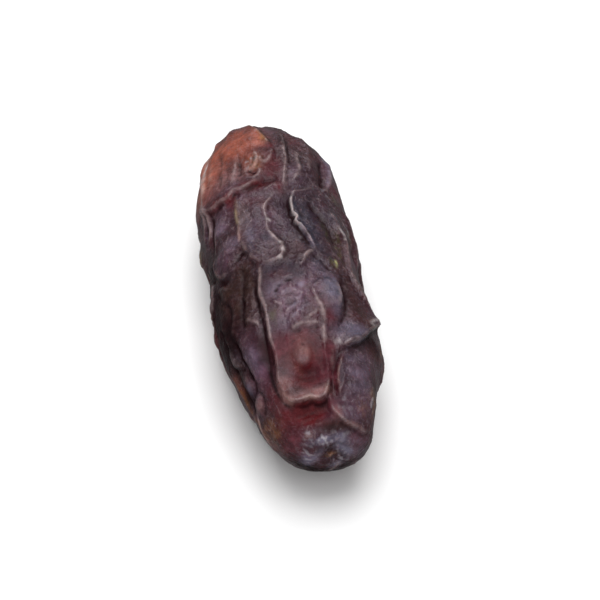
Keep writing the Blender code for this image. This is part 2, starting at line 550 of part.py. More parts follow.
def main():
    clear_scene()
    grid = date_points(ROWS, COLUMNS, FINEST)
    date = bpy.data.objects.new("date", skin_mesh("date", grid - middle(grid)))
    date.data.materials.append(skin_material())
    bpy.context.scene.collection.objects.link(date)


main()
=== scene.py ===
"""The look of the dried mabroom date: its finely wrinkled skin, its colours, the light and the camera.

The skin has the same form and folds as the solid in the frame, on a finer mesh and with finer wrinkles.
Lengths are in millimetres and angles in degrees until the mesh is made, in metres. A place on the skin is
(s, a): s is the distance along the date from its tip, and a is the angle round it from the top, positive
towards +X.
"""

import math
from typing import NamedTuple

import bpy
import numpy as np
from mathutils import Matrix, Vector, noise

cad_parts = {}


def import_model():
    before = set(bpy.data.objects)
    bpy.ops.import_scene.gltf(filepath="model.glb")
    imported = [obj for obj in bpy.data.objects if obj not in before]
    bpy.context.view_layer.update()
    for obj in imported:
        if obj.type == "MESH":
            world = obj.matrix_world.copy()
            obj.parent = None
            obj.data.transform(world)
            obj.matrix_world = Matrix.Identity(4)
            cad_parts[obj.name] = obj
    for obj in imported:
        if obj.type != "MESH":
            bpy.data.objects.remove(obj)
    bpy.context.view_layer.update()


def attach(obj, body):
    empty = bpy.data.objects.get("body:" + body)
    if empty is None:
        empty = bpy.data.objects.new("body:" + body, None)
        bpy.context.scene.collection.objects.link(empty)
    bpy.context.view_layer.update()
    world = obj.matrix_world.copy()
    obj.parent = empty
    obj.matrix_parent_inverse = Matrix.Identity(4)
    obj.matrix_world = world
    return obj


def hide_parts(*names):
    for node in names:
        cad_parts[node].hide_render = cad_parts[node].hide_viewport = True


MM = 0.001

# Main form
LENGTH = 62.0
FLATNESS = 0.88  # height of the cross-section over its width
SQUARENESS = 2.3  # power of the cross-section: 2 is an ellipse
BEND_MID = 0.6  # how far the ends stand towards +X of the middle
BEND_S = 0.1  # how far the two halves swing to opposite sides
FLAT_DEPTH = 0.3  # how deep the flat spot under the date is pressed in

# Half width of the date at distances from its tip, and how many points its smooth curve has
PROFILE_STEPS = 1200
PROFILE = (
    (0.0, 0.0),
    (0.45, 3.1),
    (2.2, 5.4),
    (5.6, 7.1),
    (10.5, 8.75),
    (16.5, 10.35),
    (22.5, 11.0),
    (30.0, 10.7),
    (39.0, 10.55),
    (47.5, 10.35),
    (54.0, 9.1),
    (58.6, 6.7),
    (61.2, 3.5),
    (62.0, 0.0),
)

# The mesh. Its columns crowd towards the top of the date, where the most folds are. A fold is never made
# narrower than about FINEST, so that it spans the mesh's own spacing.
ROWS = 99
COLUMNS = 60
CROWDING = 0.35
FINEST = 0.66


class Fold(NamedTuple):
    """A fold of the skin along a path of (s, a) places. It rises to a crest, or sinks to a groove if its
    rise is negative, and falls away over `left` and `right`, the two sides of someone who walks the path.
    `cut` is the depth of the crease along the foot of its steeper side."""

    path: tuple
    rise: float
    left: float
    right: float
    cut: float = 0.0


class Swell(NamedTuple):
    """A soft oval swelling, or a hollow if its rise is negative."""

    s: float
    a: float
    rise: float
    along: float
    around: float


# A fold that runs towards the stem has -X on its left. One that runs towards +X has the stem on its left.
STEM_LOBES = (
    # the left lobe's overhanging edge, and the line across the valley under it
    Fold(((44.1, -66), (42.9, -62), (41.9, -55), (41.3, -47), (41.4, -41), (41.3, -35), (42, -30),
          (41.9, -25), (42.1, -20), (42.6, -15), (43.2, -10), (43.9, -6)), 0.45, 2.4, 0.4, 0.16),
    Fold(((40.4, -12), (41, -5), (41.8, 0), (40.6, 3), (38.9, 6.5)), 0.2, 0.5, 0.4),
    # the left lobe's pleats
    Fold(((49.6, -24), (47.3, -26), (45.4, -28), (43.6, -29), (42.6, -30)), 0.24, 0.4, 0.7, 0.12),
    Fold(((50.8, -22.5), (48.4, -22), (46, -22), (44.3, -24)), -0.22, 0.4, 0.6),
    Fold(((53.5, -41), (49.9, -38.5), (46.9, -39), (44.5, -40), (42.6, -40)), -0.25, 0.5, 0.5),
    Fold(((50.5, -34), (47, -33), (44.4, -34), (42.8, -35)), -0.18, 0.4, 0.4),
    Fold(((48.7, -36.5), (45.9, -37), (43.6, -36)), 0.14, 0.4, 0.4),
    Fold(((47.9, -19), (45.2, -18), (43.4, -17)), 0.2, 0.4, 0.4),
    Fold(((52, -51), (48, -49), (45, -49)), 0.16, 0.6, 0.5, 0.06),
    Fold(((50, -58), (47, -57), (44.6, -57)), 0.14, 0.5, 0.5),
    # the knot where the left lobe's pleats meet
    Fold(((50.8, -10), (48.3, -7.5), (47.1, -4), (47.2, 0), (48.3, 4), (50.4, 6)), 0.28, 0.9, 0.35, 0.14),
    Fold(((49.6, -9.5), (47.9, -8.5), (46.6, -11.5), (45.9, -15.5)), 0.26, 0.4, 0.35),
    Fold(((45.9, -6.5), (44.7, -8), (43.8, -12), (43.4, -15)), 0.22, 0.35, 0.35),
    Fold(((45.8, -17.5), (45.2, -14), (44.4, -11)), -0.3, 0.4, 0.4),
    Fold(((49.8, -15), (48.2, -13.5), (46.9, -15.5)), 0.16, 0.35, 0.3),
    Fold(((51.4, -11), (50, -12), (49, -14.5)), 0.14, 0.35, 0.3),
    # the left lobe's edge over the right lobe
    Fold(((59, -14), (57.5, -9), (55, -3), (52.9, 2), (50.8, 4.5)), 0.5, 0.4, 1.8, 0.25),
    # the seam between the lobes
    Fold(((39.9, 9), (41.4, 8.5), (43.1, 9.5), (45, 11.5), (47.9, 15), (50.3, 16), (53.6, 18.5), (56.5, 19)),
         0.35, 0.7, 0.3, 0.28),
    # the right lobe's lower edge, its curl and its far hollow
    Fold(((39.8, 9), (40, 13), (40.3, 20), (40.9, 26), (41.5, 32)), 0.28, 0.4, 0.9, 0.15),
    Fold(((42.2, 13), (42.9, 18), (44, 21), (45.4, 23.5), (46.9, 23.5), (49.5, 25.5)),
         0.28, 0.45, 0.45, 0.1),
    Fold(((49.2, 49), (46.2, 45), (43.7, 43), (41.8, 40)), -0.6, 0.8, 0.8),
    Fold(((51, 61), (47.7, 56), (44.6, 51), (42.6, 46), (41.2, 41)), 0.4, 0.7, 0.45),
    Fold(((56, 34), (52, 36), (48, 34), (44, 31)), 0.3, 0.8, 0.6, 0.15),
    # the left lobe's outer edge
    Fold(((43, -60), (46.5, -58), (49, -61), (52.5, -66), (56, -60)), 0.4, 0.5, 0.8, 0.15),
)

MIDDLE = (
    # the wavy fold beside the smooth panel
    Fold(((26.2, -21), (26.6, -15), (26.9, -8), (27.8, -4.5), (29.5, -3.5), (31.2, -8), (32.6, -11),
          (34.7, -10), (37.2, -10), (38.3, -7), (39.6, -2.5), (40.7, 0)), 0.34, 0.55, 0.35, 0.08),
    # the sharp fold across the trough from it, and the hook at its foot
    Fold(((28.2, 20), (30, 17.5), (31.8, 15), (33, 13), (33.5, 11.3), (34.2, 10.3), (34.6, 12), (35.1, 11.7),
          (35.5, 10), (36.5, 10), (38, 10.3), (39.6, 13)), 0.48, 0.26, 0.3, 0.45),
    Fold(((28, 18), (27.8, 15), (27.2, 12), (26.4, 9.5), (25.5, 7.5), (24.5, 3)), 0.3, 0.35, 0.45, 0.08),
    Fold(((27.7, 8.5), (26.5, 5), (25.4, 2.5), (24.2, 0)), 0.18, 0.35, 0.4),
    Fold(((27.3, 14.5), (26.7, 19), (25.6, 23), (24, 27)), -0.35, 0.6, 0.8),
    # small wrinkles on the smooth panel
    Fold(((30.5, -24), (29.3, -18), (28.4, -13), (28.9, -8)), 0.14, 0.4, 0.3, 0.06),
    Fold(((29.2, -25), (28, -19), (27.5, -14)), 0.12, 0.35, 0.35, 0.04),
    Fold(((37.9, -21), (35, -22), (32.5, -21.5)), -0.1, 0.6, 0.6),
    # the smooth panel's far edges
    Fold(((32.6, -34), (34.2, -32), (36, -30.5), (37.5, -31), (39.2, -29.5), (41.6, -29)), 0.32, 0.35, 0.4),
    Fold(((31.6, -31), (29.7, -28.5), (28.4, -26), (27.2, -22.5), (26.2, -21)), 0.3, 0.8, 0.35, 0.2),
    # the trough under it
    Fold(((18, -34), (20, -34.5), (22.5, -34.5), (25.2, -33.5), (28, -31)), -0.45, 1.2, 1.1),
    Fold(((28.6, -38), (29.8, -34), (29.6, -30), (28.4, -27)), -0.3, 0.35, 0.45),
    Fold(((28.3, -35), (26.5, -35.5), (24.9, -36), (23, -38.5), (21.6, -40), (19.8, -42)),
         -0.16, 0.35, 0.35),
    Fold(((26.9, -30), (23.4, -32), (20.9, -34), (19.1, -36), (17.9, -37.5)), 0.14, 0.4, 0.4),
    Fold(((18.6, -40), (17.7, -36), (17, -32)), 0.2, 0.5, 0.3, 0.12),
    Fold(((24.5, -26.5), (21.6, -29), (19.9, -29), (18, -30), (16, -31), (15, -32), (13.6, -34), (12.2, -36),
          (10.9, -37.5), (9.3, -40)), -0.26, 0.3, 0.35),
    # the long rail down the left of the middle panel, the tongue that it ends in, and the way back up
    Fold(((5.5, -32), (7, -34), (8.8, -34), (10.5, -31), (12.5, -28.5), (14.6, -28), (16.8, -26), (19, -25),
          (21.3, -26), (22.7, -25), (24.4, -23), (26, -21)), 0.42, 0.35, 0.7, 0.22),
    Fold(((6.8, -34), (5.6, -30), (5.3, -21), (5.5, -13), (5.1, -5), (5.2, 0), (5.9, 4.5), (7, 8),
          (8.2, 9.5)), 0.55, 0.75, 0.3, 0.24),
    Fold(((3.4, -38), (3.1, -29), (3.2, -20), (3, -11)), 0.14, 0.3, 0.35, 0.05),
    Fold(((2.5, -42), (2.3, -30), (2.4, -18), (2.1, -6)), 0.12, 0.3, 0.35, 0.05),
    Fold(((1.9, -40), (1.4, -33), (1.5, -24)), 0.14, 0.4, 0.4),
    Fold(((7, 8), (8.5, 9.5), (10, 9.5), (12.2, 10), (14, 11), (16, 12.5)), 0.32, 0.4, 0.4, 0.06),
    Fold(((16, 12.8), (17.3, 13), (18.5, 11), (19.8, 9.5), (21.4, 8)), 0.25, 0.4, 0.4),
    # the hood over the tongue, and the lower edge of the tongue's knob
    Fold(((14.7, -14), (15.1, -8), (15.3, -3), (15.2, 2), (15.1, 8), (14.8, 11)), 0.26, 0.9, 0.35, 0.14),
    Fold(((11.2, -14.5), (10.2, -13), (9.9, -9), (10.2, -6), (11, -4)), 0.18, 0.8, 0.35, 0.06),
    # ripples over the middle panel
    Fold(((20.7, -17), (21.5, -14), (22.2, -11), (22.6, -7), (22.3, -2)), -0.24, 0.35, 0.35),
    Fold(((20.3, -14), (20.7, -8), (20.5, -3), (20, 2), (20.4, 6)), 0.2, 0.45, 0.3, 0.06),
    Fold(((19.1, -14), (19.5, -7), (19.2, -3), (19.5, 3)), 0.18, 0.4, 0.3, 0.05),
    Fold(((17.4, -12), (18.2, -6), (18.6, -1), (18.9, 4)), 0.17, 0.4, 0.3, 0.05),
    Fold(((16.4, -10), (17, -5), (17.7, -1), (18.1, 4)), 0.17, 0.4, 0.3, 0.05),
    Fold(((15.9, -2), (16.1, 2), (16.5, 6), (17.2, 11)), 0.16, 0.4, 0.35, 0.05),
    Fold(((21.8, -13), (22.8, -8), (23.3, -4), (23, 0)), 0.18, 0.4, 0.3, 0.06),
    Fold(((23.4, -16), (24.2, -11), (24.4, -5)), 0.12, 0.35, 0.3, 0.05),
    Fold(((25.2, -16), (25.7, -11), (25.4, -6)), -0.16, 0.4, 0.4),
    Fold(((18.1, -19), (17.2, -17), (16.4, -16)), 0.12, 0.3, 0.35, 0.05),
    Fold(((19.6, -19), (19, -16), (18.8, -12)), 0.12, 0.35, 0.3, 0.05),
    Fold(((12.6, -11), (13, -7), (12.7, -2)), 0.12, 0.35, 0.3, 0.08),
    Fold(((13.7, -12), (13.9, -6), (13.7, 0)), 0.12, 0.3, 0.3, 0.08),
    Fold(((11.6, -12), (11.8, -8), (11.6, -3)), 0.1, 0.3, 0.3, 0.06),
    Fold(((9.6, 2), (8.6, 3), (7.6, 1)), 0.12, 0.3, 0.3, 0.06),
    Fold(((20.8, 10), (21.8, 15), (22.5, 19)), 0.18, 0.4, 0.35),
    Fold(((19.7, 7), (20.1, 12), (20.3, 16)), 0.18, 0.35, 0.35),
)

RIGHT = (
    # the bulge's rim and the valley round it
    Fold(((17.2, 22), (18.2, 26), (19.8, 28.5), (21, 29), (22.4, 28)), 0.3, 1.2, 0.45, 0.1),
    Fold(((24, 34), (22, 32.5), (20.4, 32.5), (18.8, 32), (17.1, 30), (15.8, 27), (14.5, 22), (13.3, 17.5)),
         -0.5, 0.8, 0.8),
    # the thick fold that stands out, with a sharp crease along its top
    Fold(((11.6, 18), (11.9, 24), (12.5, 31), (13.1, 38), (14.1, 44), (15.5, 51), (17.3, 62), (18.8, 72),
          (19.8, 84)), 0.8, 1.9, 0.4, 0.35),
    Fold(((15.9, 44), (16.6, 50), (17.8, 58), (19.2, 70)), 0.25, 0.4, 0.4),
    Fold(((16, 22.5), (14.4, 20.5), (13.2, 17.5), (12, 18)), 0.28, 0.6, 0.4, 0.05),
    # the panel under it: its steep left edge and its lower edge
    Fold(((4.6, 21), (5.5, 17.6), (6.5, 16.6), (8, 17.4), (9, 19.4), (9.9, 22), (11.1, 25.5)),
         0.16, 0.3, 0.8, 0.3),
    Fold(((6.4, 10.5), (5.3, 7.5), (4.5, 7), (3.6, 9), (3, 13), (2.5, 18), (2.1, 27), (1.9, 38), (1.8, 52),
          (2.3, 75)), 0.26, 1.8, 0.25, 0.18),
    Fold(((5, 55), (6.2, 54.5), (7.6, 53)), 0.25, 0.4, 0.4),
    Fold(((9.6, 33), (8.4, 33.5), (7.4, 32)), -0.2, 0.4, 0.4),
    # the rim where the top turns down into the side, and the groove along it
    Fold(((18.4, 62), (19.5, 56), (20.5, 52), (21.4, 48.5), (22.6, 46), (24, 44.5), (25.8, 44.5), (28, 46.5),
          (30.5, 49), (32.6, 50), (34, 46)), 0.38, 0.4, 1.0, 0.22),
    Fold(((38.6, 23), (37.1, 26), (35.8, 29), (34.5, 32.5), (32.9, 36), (31.2, 37.5), (29, 37)),
         -0.45, 0.7, 0.8),
    Fold(((37, 40), (34.5, 43), (32, 44)), 0.25, 0.6, 0.5, 0.1),
    Fold(((40, 62), (36, 63), (32, 66), (28, 66)), 0.4, 0.9, 0.6, 0.2),
)

LEFT = (
    # the low flank: its long panel's edges, and the creases round its three pillows
    Fold(((17.8, -58), (15.4, -57), (14.2, -58.5), (12.8, -58), (11.8, -59.5), (10.6, -58.5)),
         -0.5, 0.4, 0.45),
    Fold(((12.3, -60), (11.3, -59), (10.3, -59.5), (9.6, -63), (9.3, -70), (9.6, -79)), -0.3, 0.4, 0.35),
    Fold(((9.7, -62), (8.6, -57.5), (7.5, -58.5), (6.7, -65), (6.6, -73)), -0.28, 0.35, 0.4),
    Fold(((15, -77), (14.1, -71), (13.4, -65), (12.9, -60)), -0.35, 0.4, 0.4),
    Fold(((15.5, -76), (13.4, -75), (12.3, -77), (11, -79), (9.5, -80), (7.7, -84)), -0.35, 0.4, 0.5),
    Fold(((21.5, -72), (19.5, -69), (18, -69), (16.4, -72), (15, -76)), -0.5, 0.45, 0.5),
    # the middle flank: long creases beside the trough, and the ridges between them
    Fold(((22.5, -39), (20.1, -41.5), (18.6, -43), (17, -45)), -0.4, 0.45, 0.45),
    Fold(((21, -48), (19.5, -50), (17.3, -55)), 0.14, 0.6, 0.6),
    Fold(((27.2, -65), (25.5, -61), (23.7, -56), (22.3, -52), (20, -53), (18, -57)), -0.35, 0.5, 0.5),
    Fold(((27.1, -62), (26.5, -57), (25.6, -51), (24.6, -47)), 0.32, 0.4, 0.9, 0.15),
    Fold(((31.4, -77), (28.7, -70.5), (27.1, -72), (25.5, -77), (23.5, -82)), 0.42, 0.45, 0.45, 0.15),
    Fold(((35.1, -88), (31.5, -76), (28.9, -66)), -0.4, 0.6, 0.6),
    # the upper flank's pillow and the ridges and hollows over it
    Fold(((33, -60), (31.2, -61.5), (29.3, -58), (28, -52), (28.1, -44)), 0.3, 1.0, 0.35, 0.28),
    Fold(((41.3, -54), (38.9, -56), (36.9, -60), (34.5, -60.5), (32.9, -62.5)), -0.4, 0.4, 0.45),
    Fold(((43.6, -58.5), (42, -58), (40.1, -59), (38.5, -60), (37.3, -64)), 0.36, 0.4, 0.4, 0.1),
    Fold(((37.5, -51), (35.5, -53), (34, -55.5), (32.6, -57)), 0.3, 0.45, 0.45),
    Fold(((44.6, -61), (42.5, -62.5), (40, -66), (37.5, -71)), 0.36, 0.45, 0.5, 0.15),
    Fold(((40.6, -40), (38.5, -43), (36.5, -44)), 0.2, 0.6, 0.5),
    Fold(((33.7, -82), (36.3, -88), (38.9, -93), (41.5, -95)), 0.45, 0.5, 0.8, 0.2),
    # the thin edge along the lower left outline
    Fold(((3.4, -118), (3.8, -107), (4.8, -97), (6, -90), (8.4, -89), (11.6, -89), (15.1, -86.5), (18, -88)),
         0.35, 0.5, 0.6, 0.2),
)

SWELLS = (
    Swell(34.5, -20, 0.35, 6.5, 1.6),  # the smooth panel
    Swell(34, 1, -0.35, 5.5, 1.5),  # the trough beside it
    Swell(42.7, -3, -0.35, 0.9, 1.6),  # the valley under the left lobe
    Swell(49.5, 0, 0.3, 1.5, 1.0),
    Swell(44, 16, 0.35, 1.6, 0.9),  # the right lobe's bump
    Swell(57.5, -14, 0.3, 3.0, 3.0),  # the left lobe's crown
    Swell(19.7, 21, 0.5, 2.6, 1.3),  # the bulge on the middle panel
    Swell(11, -9, 0.35, 1.5, 1.0),  # the tongue's knob
    Swell(8.4, -8, -0.55, 1.2, 2.0),  # the hollow under it
    Swell(7, -28, 0.25, 1.0, 0.7),
    Swell(3.6, -18, -0.6, 1.3, 3.0),  # the recess under the tongue
    Swell(7.5, 38, 0.35, 3.2, 2.6),  # the panel under the thick fold
    Swell(16, 34, 0.3, 1.8, 1.6),
    Swell(24.5, 78, -1.25, 6.5, 4.5),  # the right flank's long hollow
    Swell(8.5, 95, -0.6, 4.5, 3.5),
    Swell(56, 48, -0.45, 3.5, 4.0),
    Swell(13.6, -48, 0.45, 3.6, 1.5),  # the left flank's panel
    Swell(15.2, -66, 0.5, 1.5, 0.9),  # its three pillows
    Swell(11.3, -67, 0.35, 1.4, 0.9),
    Swell(8.0, -66, 0.35, 1.3, 1.0),
    Swell(30.8, -47, 0.5, 2.4, 1.9),  # the upper flank's pillow
    Swell(36, -46, 0.25, 2.6, 1.5),
    Swell(24.2, -56, 0.3, 1.5, 1.3),
    Swell(19, -62, 0.25, 2.0, 1.4),
    Swell(38, -92, 0.35, 2.0, 1.5),
    Swell(25, -106, -0.5, 10.0, 4.0),  # the left outline
    Swell(14, -114, -0.65, 5.0, 4.0),
)

# The skin that the folds above don't reach: folds at random places, round the sides and underneath. Long
# ones run along the date and short ones across it. A pair of numbers is the range of a random draw.
STRAY_SEED = 7
STRAYS_ALONG = 60
STRAYS_ACROSS = 26
STRAY_START = (2.0, 50.0)
STRAY_STEP = 2.0
LONG_SPAN = (8.0, 24.0)
SHORT_SPAN = (2.0, 6.0)
LONG_RISE = (0.3, 0.65)
SHORT_RISE = (0.2, 0.4)
STEEP_SIDE = (0.35, 0.6)
GENTLE_SIDE = (0.7, 1.8)
GROOVE_SHARE = 0.25  # how many of them are grooves
FOLDS_MIDDLE = -8.0
HIDDEN_FROM = 96.0  # degrees either side of the middle of the folds above

# Soft lumps all over: how high they are and how far across
LUMPS = (0.4, 8.0)
SMALL_LUMPS = (0.12, 2.6)

# The scar at the tip: a point in a ring that is pressed in
TIP_SCAR = (0.1, -11.0)
SCAR_RISE = 0.12
SCAR_RADIUS = 0.4
RING_DEPTH = 0.2
RING_RADIUS = 0.75
RING_WIDTH = 0.45

# The stem end: a small pit where the stem was, with a lip, in a hollow ring of pleats
END_FROM = 48.0
END_FULL = 54.0
PIT_RADIUS = 1.0
PIT_DEPTH = 1.4
LIP_RISE = 0.3
LIP_RADIUS = 1.7
LIP_WIDTH = 0.5
HOLLOW_DEPTH = 0.7
HOLLOW_RADIUS = 3.4
PLEATS = 13
PLEAT_RISE = 0.35
PLEAT_REACH = 9.0


def smooth_curve(points, count):
    """A smooth curve through the points, as `count` rows spaced evenly along it."""
    given = np.array(points, float)
    gaps = np.linalg.norm(np.diff(given, axis=0), axis=1) ** 0.75
    knots = np.concatenate([[0.0], np.cumsum(gaps)])
    slopes = np.gradient(given, knots, axis=0)
    fine = np.linspace(0.0, knots[-1], 40 * len(given))
    i = np.clip(np.searchsorted(knots, fine, side="right") - 1, 0, len(given) - 2)
    span = (knots[i + 1] - knots[i])[:, None]
    t = (fine - knots[i])[:, None] / span
    curve = (
        (1 + 2 * t) * (1 - t) ** 2 * given[i]
        + t * (1 - t) ** 2 * span * slopes[i]
        + t * t * (3 - 2 * t) * given[i + 1]
        + t * t * (t - 1) * span * slopes[i + 1]
    )
    length = np.concatenate([[0.0], np.cumsum(np.linalg.norm(np.diff(curve, axis=0), axis=1))])
    even = np.linspace(0.0, length[-1], count)
    return np.stack([np.interp(even, length, column) for column in curve.T], axis=1)


def profile():
    """Rows of (distance from the tip, half width), from end to end."""
    rows = smooth_curve(PROFILE, PROFILE_STEPS)
    rows[:, 0] = np.maximum.accumulate(np.clip(rows[:, 0], 0.0, LENGTH))
    rows[:, 1] = np.maximum(rows[:, 1], 0.0)
    return rows


OUTLINE = profile()
AXIS_HEIGHT = OUTLINE[:, 1].max() * FLATNESS - FLAT_DEPTH


def form_point(s, half_width, angle):
    """Places on the smooth form, before any fold. The angle is in radians."""
    t = 2.0 * s / LENGTH - 1.0
    across, up = np.sin(angle), np.cos(angle)
    reach = (np.abs(across) ** SQUARENESS + np.abs(up) ** SQUARENESS) ** (-1.0 / SQUARENESS)
    bend = BEND_MID * (t * t - 0.33) - BEND_S * (t**3 - 0.6 * t)
    x = half_width * across * reach + bend
    y = s - LENGTH / 2
    z = AXIS_HEIGHT + half_width * FLATNESS * up * reach
    return np.stack(np.broadcast_arrays(x, y, z), axis=-1)


def form_grid(rows, columns):
    """The smooth form as a grid: its (s, a) places, points and outward normals. Its first and last rows are
    the two ends."""
    length = np.concatenate([[0.0], np.cumsum(np.linalg.norm(np.diff(OUTLINE, axis=0), axis=1))])
    even = np.linspace(0.0, length[-1], rows)
    s = np.interp(even, length, OUTLINE[:, 0])[:, None]
    half_width = np.interp(even, length, OUTLINE[:, 1])[:, None]
    angle = (2.0 * math.pi * np.arange(columns) / columns)[None, :]
    angle = angle - CROWDING * np.sin(angle)
    points = form_point(s, half_width, angle)
    along = np.gradient(points, axis=0)
    around = np.roll(points, -1, axis=1) - np.roll(points, 1, axis=1)
    normals = np.cross(around, along)
    normals[0] = (0.0, -1.0, 0.0)
    normals[-1] = (0.0, 1.0, 0.0)
    normals /= np.linalg.norm(normals, axis=-1, keepdims=True)
    return s + 0.0 * angle, angle + 0.0 * s, points, normals


def on_form(places):
    """Points of the smooth form at (s, a) places in millimetres and degrees."""
    s, a = np.array(places, float).T
    return form_point(s, np.interp(s, OUTLINE[:, 0], OUTLINE[:, 1]), np.radians(a))


def crest(distance, width, finest):
    """1 on a fold's line, falling away on either side, like a sheet hung over a thin wire."""
    rounded = np.sqrt(distance**2 + (0.7 * finest) ** 2) - 0.7 * finest
    return np.exp(-rounded / width)


def beside(places, points, normals, reach):
    """Which points lie near a path of (s, a) places, and for each of them the distance to the path (less
    than 0 on its right) and how far along the path it lies, from 0 to 1."""
    path = smooth_curve(on_form(places), 6 * len(places))
    near = np.all((points > path.min(0) - reach) & (points < path.max(0) + reach), axis=1)
    p, n = points[near], normals[near]
    steps = np.diff(path, axis=0)
    best = np.full(len(p), np.inf)
    signed = np.zeros(len(p))
    travel = np.zeros(len(p))
    for i, (start, step) in enumerate(zip(path[:-1], steps)):
        t = np.clip((p - start) @ step / (step @ step), 0.0, 1.0)
        away = p - start - t[:, None] * step
        distance = np.linalg.norm(away, axis=1)
        closer = distance < best
        side = np.where(np.einsum("ij,ij->i", np.cross(step, away), n) < 0.0, -1.0, 1.0)
        best[closer] = distance[closer]
        signed[closer] = (side * distance)[closer]
        travel[closer] = (i + t[closer]) / len(steps)
    return near, signed, travel


def fold_offset(fold, points, normals, finest):
    """How far a fold moves each point along its normal."""
    offset = np.zeros(len(points))
    reach = 4.0 * max(fold.left, fold.right, finest.max()) + 1.0
    near, signed, travel = beside(fold.path, points, normals, reach)
    ease = np.clip(np.minimum(travel, 1.0 - travel) * 5.0, 0.0, 1.0)
    ease = 0.15 + 0.85 * ease * ease * (3.0 - 2.0 * ease)
    left, right = np.maximum(fold.left, finest[near]), np.maximum(fold.right, finest[near])
    height = fold.rise * crest(np.abs(signed), np.where(signed > 0.0, left, right), finest[near])
    if fold.cut:
        steep, facing = (left, 1.0) if fold.left < fold.right else (right, -1.0)
        foot = np.maximum(signed * facing, 0.0) / (2.0 * steep)
        height -= fold.cut * (foot * np.exp(1.0 - foot)) ** 2
    offset[near] = height * ease
    return offset


def swell_offset(swell, points):
    """How far a swelling moves each point."""
    centre = on_form([(swell.s, swell.a)])[0]
    ahead = on_form([(swell.s + 0.5, swell.a)])[0] - centre
    aside = on_form([(swell.s, swell.a + 3.0)])[0] - centre
    ahead /= np.linalg.norm(ahead)
    aside -= ahead * (aside @ ahead)
    aside /= np.linalg.norm(aside)
    away = points - centre
    u = away @ ahead / swell.along
    v = away @ aside / swell.around
    through = away @ np.cross(ahead, aside) / (swell.along + swell.around)
    return swell.rise * np.exp(-((u * u + v * v) ** 1.25) - through**2)


def noise_at(points, size, shift=0.0):
    """Smooth noise between about -1 and 1, with lumps about `size` across."""
    scaled = points / size + shift
    return np.array([noise.noise(Vector(p)) for p in scaled])


def stray_folds():
    """Folds at random places: long ones that run along the date, and short ones across it."""
    chance = np.random.default_rng(STRAY_SEED)
    folds = []
    for i in range(STRAYS_ALONG + STRAYS_ACROSS):
        across = i >= STRAYS_ALONG
        s = chance.uniform(*STRAY_START)
        a = FOLDS_MIDDLE + chance.uniform(HIDDEN_FROM, 360.0 - HIDDEN_FROM)
        span = chance.uniform(*(SHORT_SPAN if across else LONG_SPAN))
        heading = math.radians(chance.uniform(55.0, 125.0) if across else chance.normal(0.0, 9.0))
        straighten = 0.0 if across else 0.4
        path = []
        while span > 0.0 and 1.0 < s < LENGTH - 3.0:
            path.append((s, a))
            half_width = np.interp(s, OUTLINE[:, 0], OUTLINE[:, 1])
            s += STRAY_STEP * math.cos(heading)
            a += math.degrees(STRAY_STEP * math.sin(heading) / half_width)
            heading += math.radians(chance.normal(0.0, 14.0)) - straighten * heading
            span -= STRAY_STEP
        steep, gentle = chance.uniform(*STEEP_SIDE), chance.uniform(*GENTLE_SIDE)
        left, right = (steep, gentle) if chance.random() < 0.5 else (gentle, steep)
        rise = chance.uniform(*(SHORT_RISE if across else LONG_RISE))
        cut = chance.uniform(0.3, 0.8) * rise
        if chance.random() < GROOVE_SHARE:
            rise, cut = -rise, 0.0
        if len(path) > 2:
            folds.append(Fold(tuple(path), rise, left, right, cut))
    return folds


def stem_end_offset(s, a, points):
    """The pit left by the stem, its lip, and the pleats that gather in towards it."""
    across = points[:, 0] - on_form([(LENGTH, 0.0)])[0][0]
    radius = np.hypot(across, points[:, 2] - AXIS_HEIGHT)
    at_end = np.clip((s - END_FROM) / (END_FULL - END_FROM), 0.0, 1.0)
    wander = noise_at(points, 6.0, 23.0)
    phase = PLEATS * a / 2.0 + 2.2 * wander + 0.9 * np.sin(2.0 * a + 1.0)
    pleats = PLEAT_RISE * (0.55 - np.abs(np.sin(phase)) ** 0.7) * np.clip((radius - 0.8) / 2.0, 0.0, 1.0)
    fade = np.exp(-((np.maximum(LENGTH - s, 0.0) / PLEAT_REACH) ** 2))
    hollow = -HOLLOW_DEPTH * np.exp(-((radius / HOLLOW_RADIUS) ** 2))
    pit = -PIT_DEPTH * np.exp(-((radius / PIT_RADIUS) ** 4))
    lip = LIP_RISE * np.exp(-(((radius - LIP_RADIUS) / LIP_WIDTH) ** 2))
    return at_end * (pleats * fade + hollow + pit + lip)


def tip_offset(points):
    """The small scar at the tip where the flower's style was."""
    radius = np.linalg.norm(points - on_form([TIP_SCAR])[0], axis=1)
    scar = SCAR_RISE * np.exp(-((radius / SCAR_RADIUS) ** 2))
    return scar - RING_DEPTH * np.exp(-(((radius - RING_RADIUS) / RING_WIDTH) ** 2))


def date_points(rows, columns, finest):
    """The skin's points, in millimetres, as a grid from the tip's end to the stem's."""
    s, a, form, normals = form_grid(rows, columns)
    s, a = s.ravel(), a.ravel()
    points, out = form.reshape(-1, 3), normals.reshape(-1, 3)
    finest = finest * np.sqrt(1.0 - CROWDING * np.cos(a))
    offset = LUMPS[0] * noise_at(points, LUMPS[1]) + SMALL_LUMPS[0] * noise_at(points, SMALL_LUMPS[1], 5.0)
    for fold in STEM_LOBES + MIDDLE + RIGHT + LEFT + tuple(stray_folds()):
        offset += fold_offset(fold, points, out, finest)
    for swell in SWELLS:
        offset += swell_offset(swell, points)
    offset += stem_end_offset(s, a, points) + tip_offset(points)
    points = points + out * offset[:, None]
    points[:, 2] = np.maximum(points[:, 2], 0.0)
    return points.reshape(rows, columns, 3)


def middle(grid):
    """Where the middle of the date's bounds is, seen from above."""
    corners = grid.reshape(-1, 3)
    low, high = corners.min(axis=0), corners.max(axis=0)
    return np.array([(low[0] + high[0]) / 2, (low[1] + high[1]) / 2, 0.0])


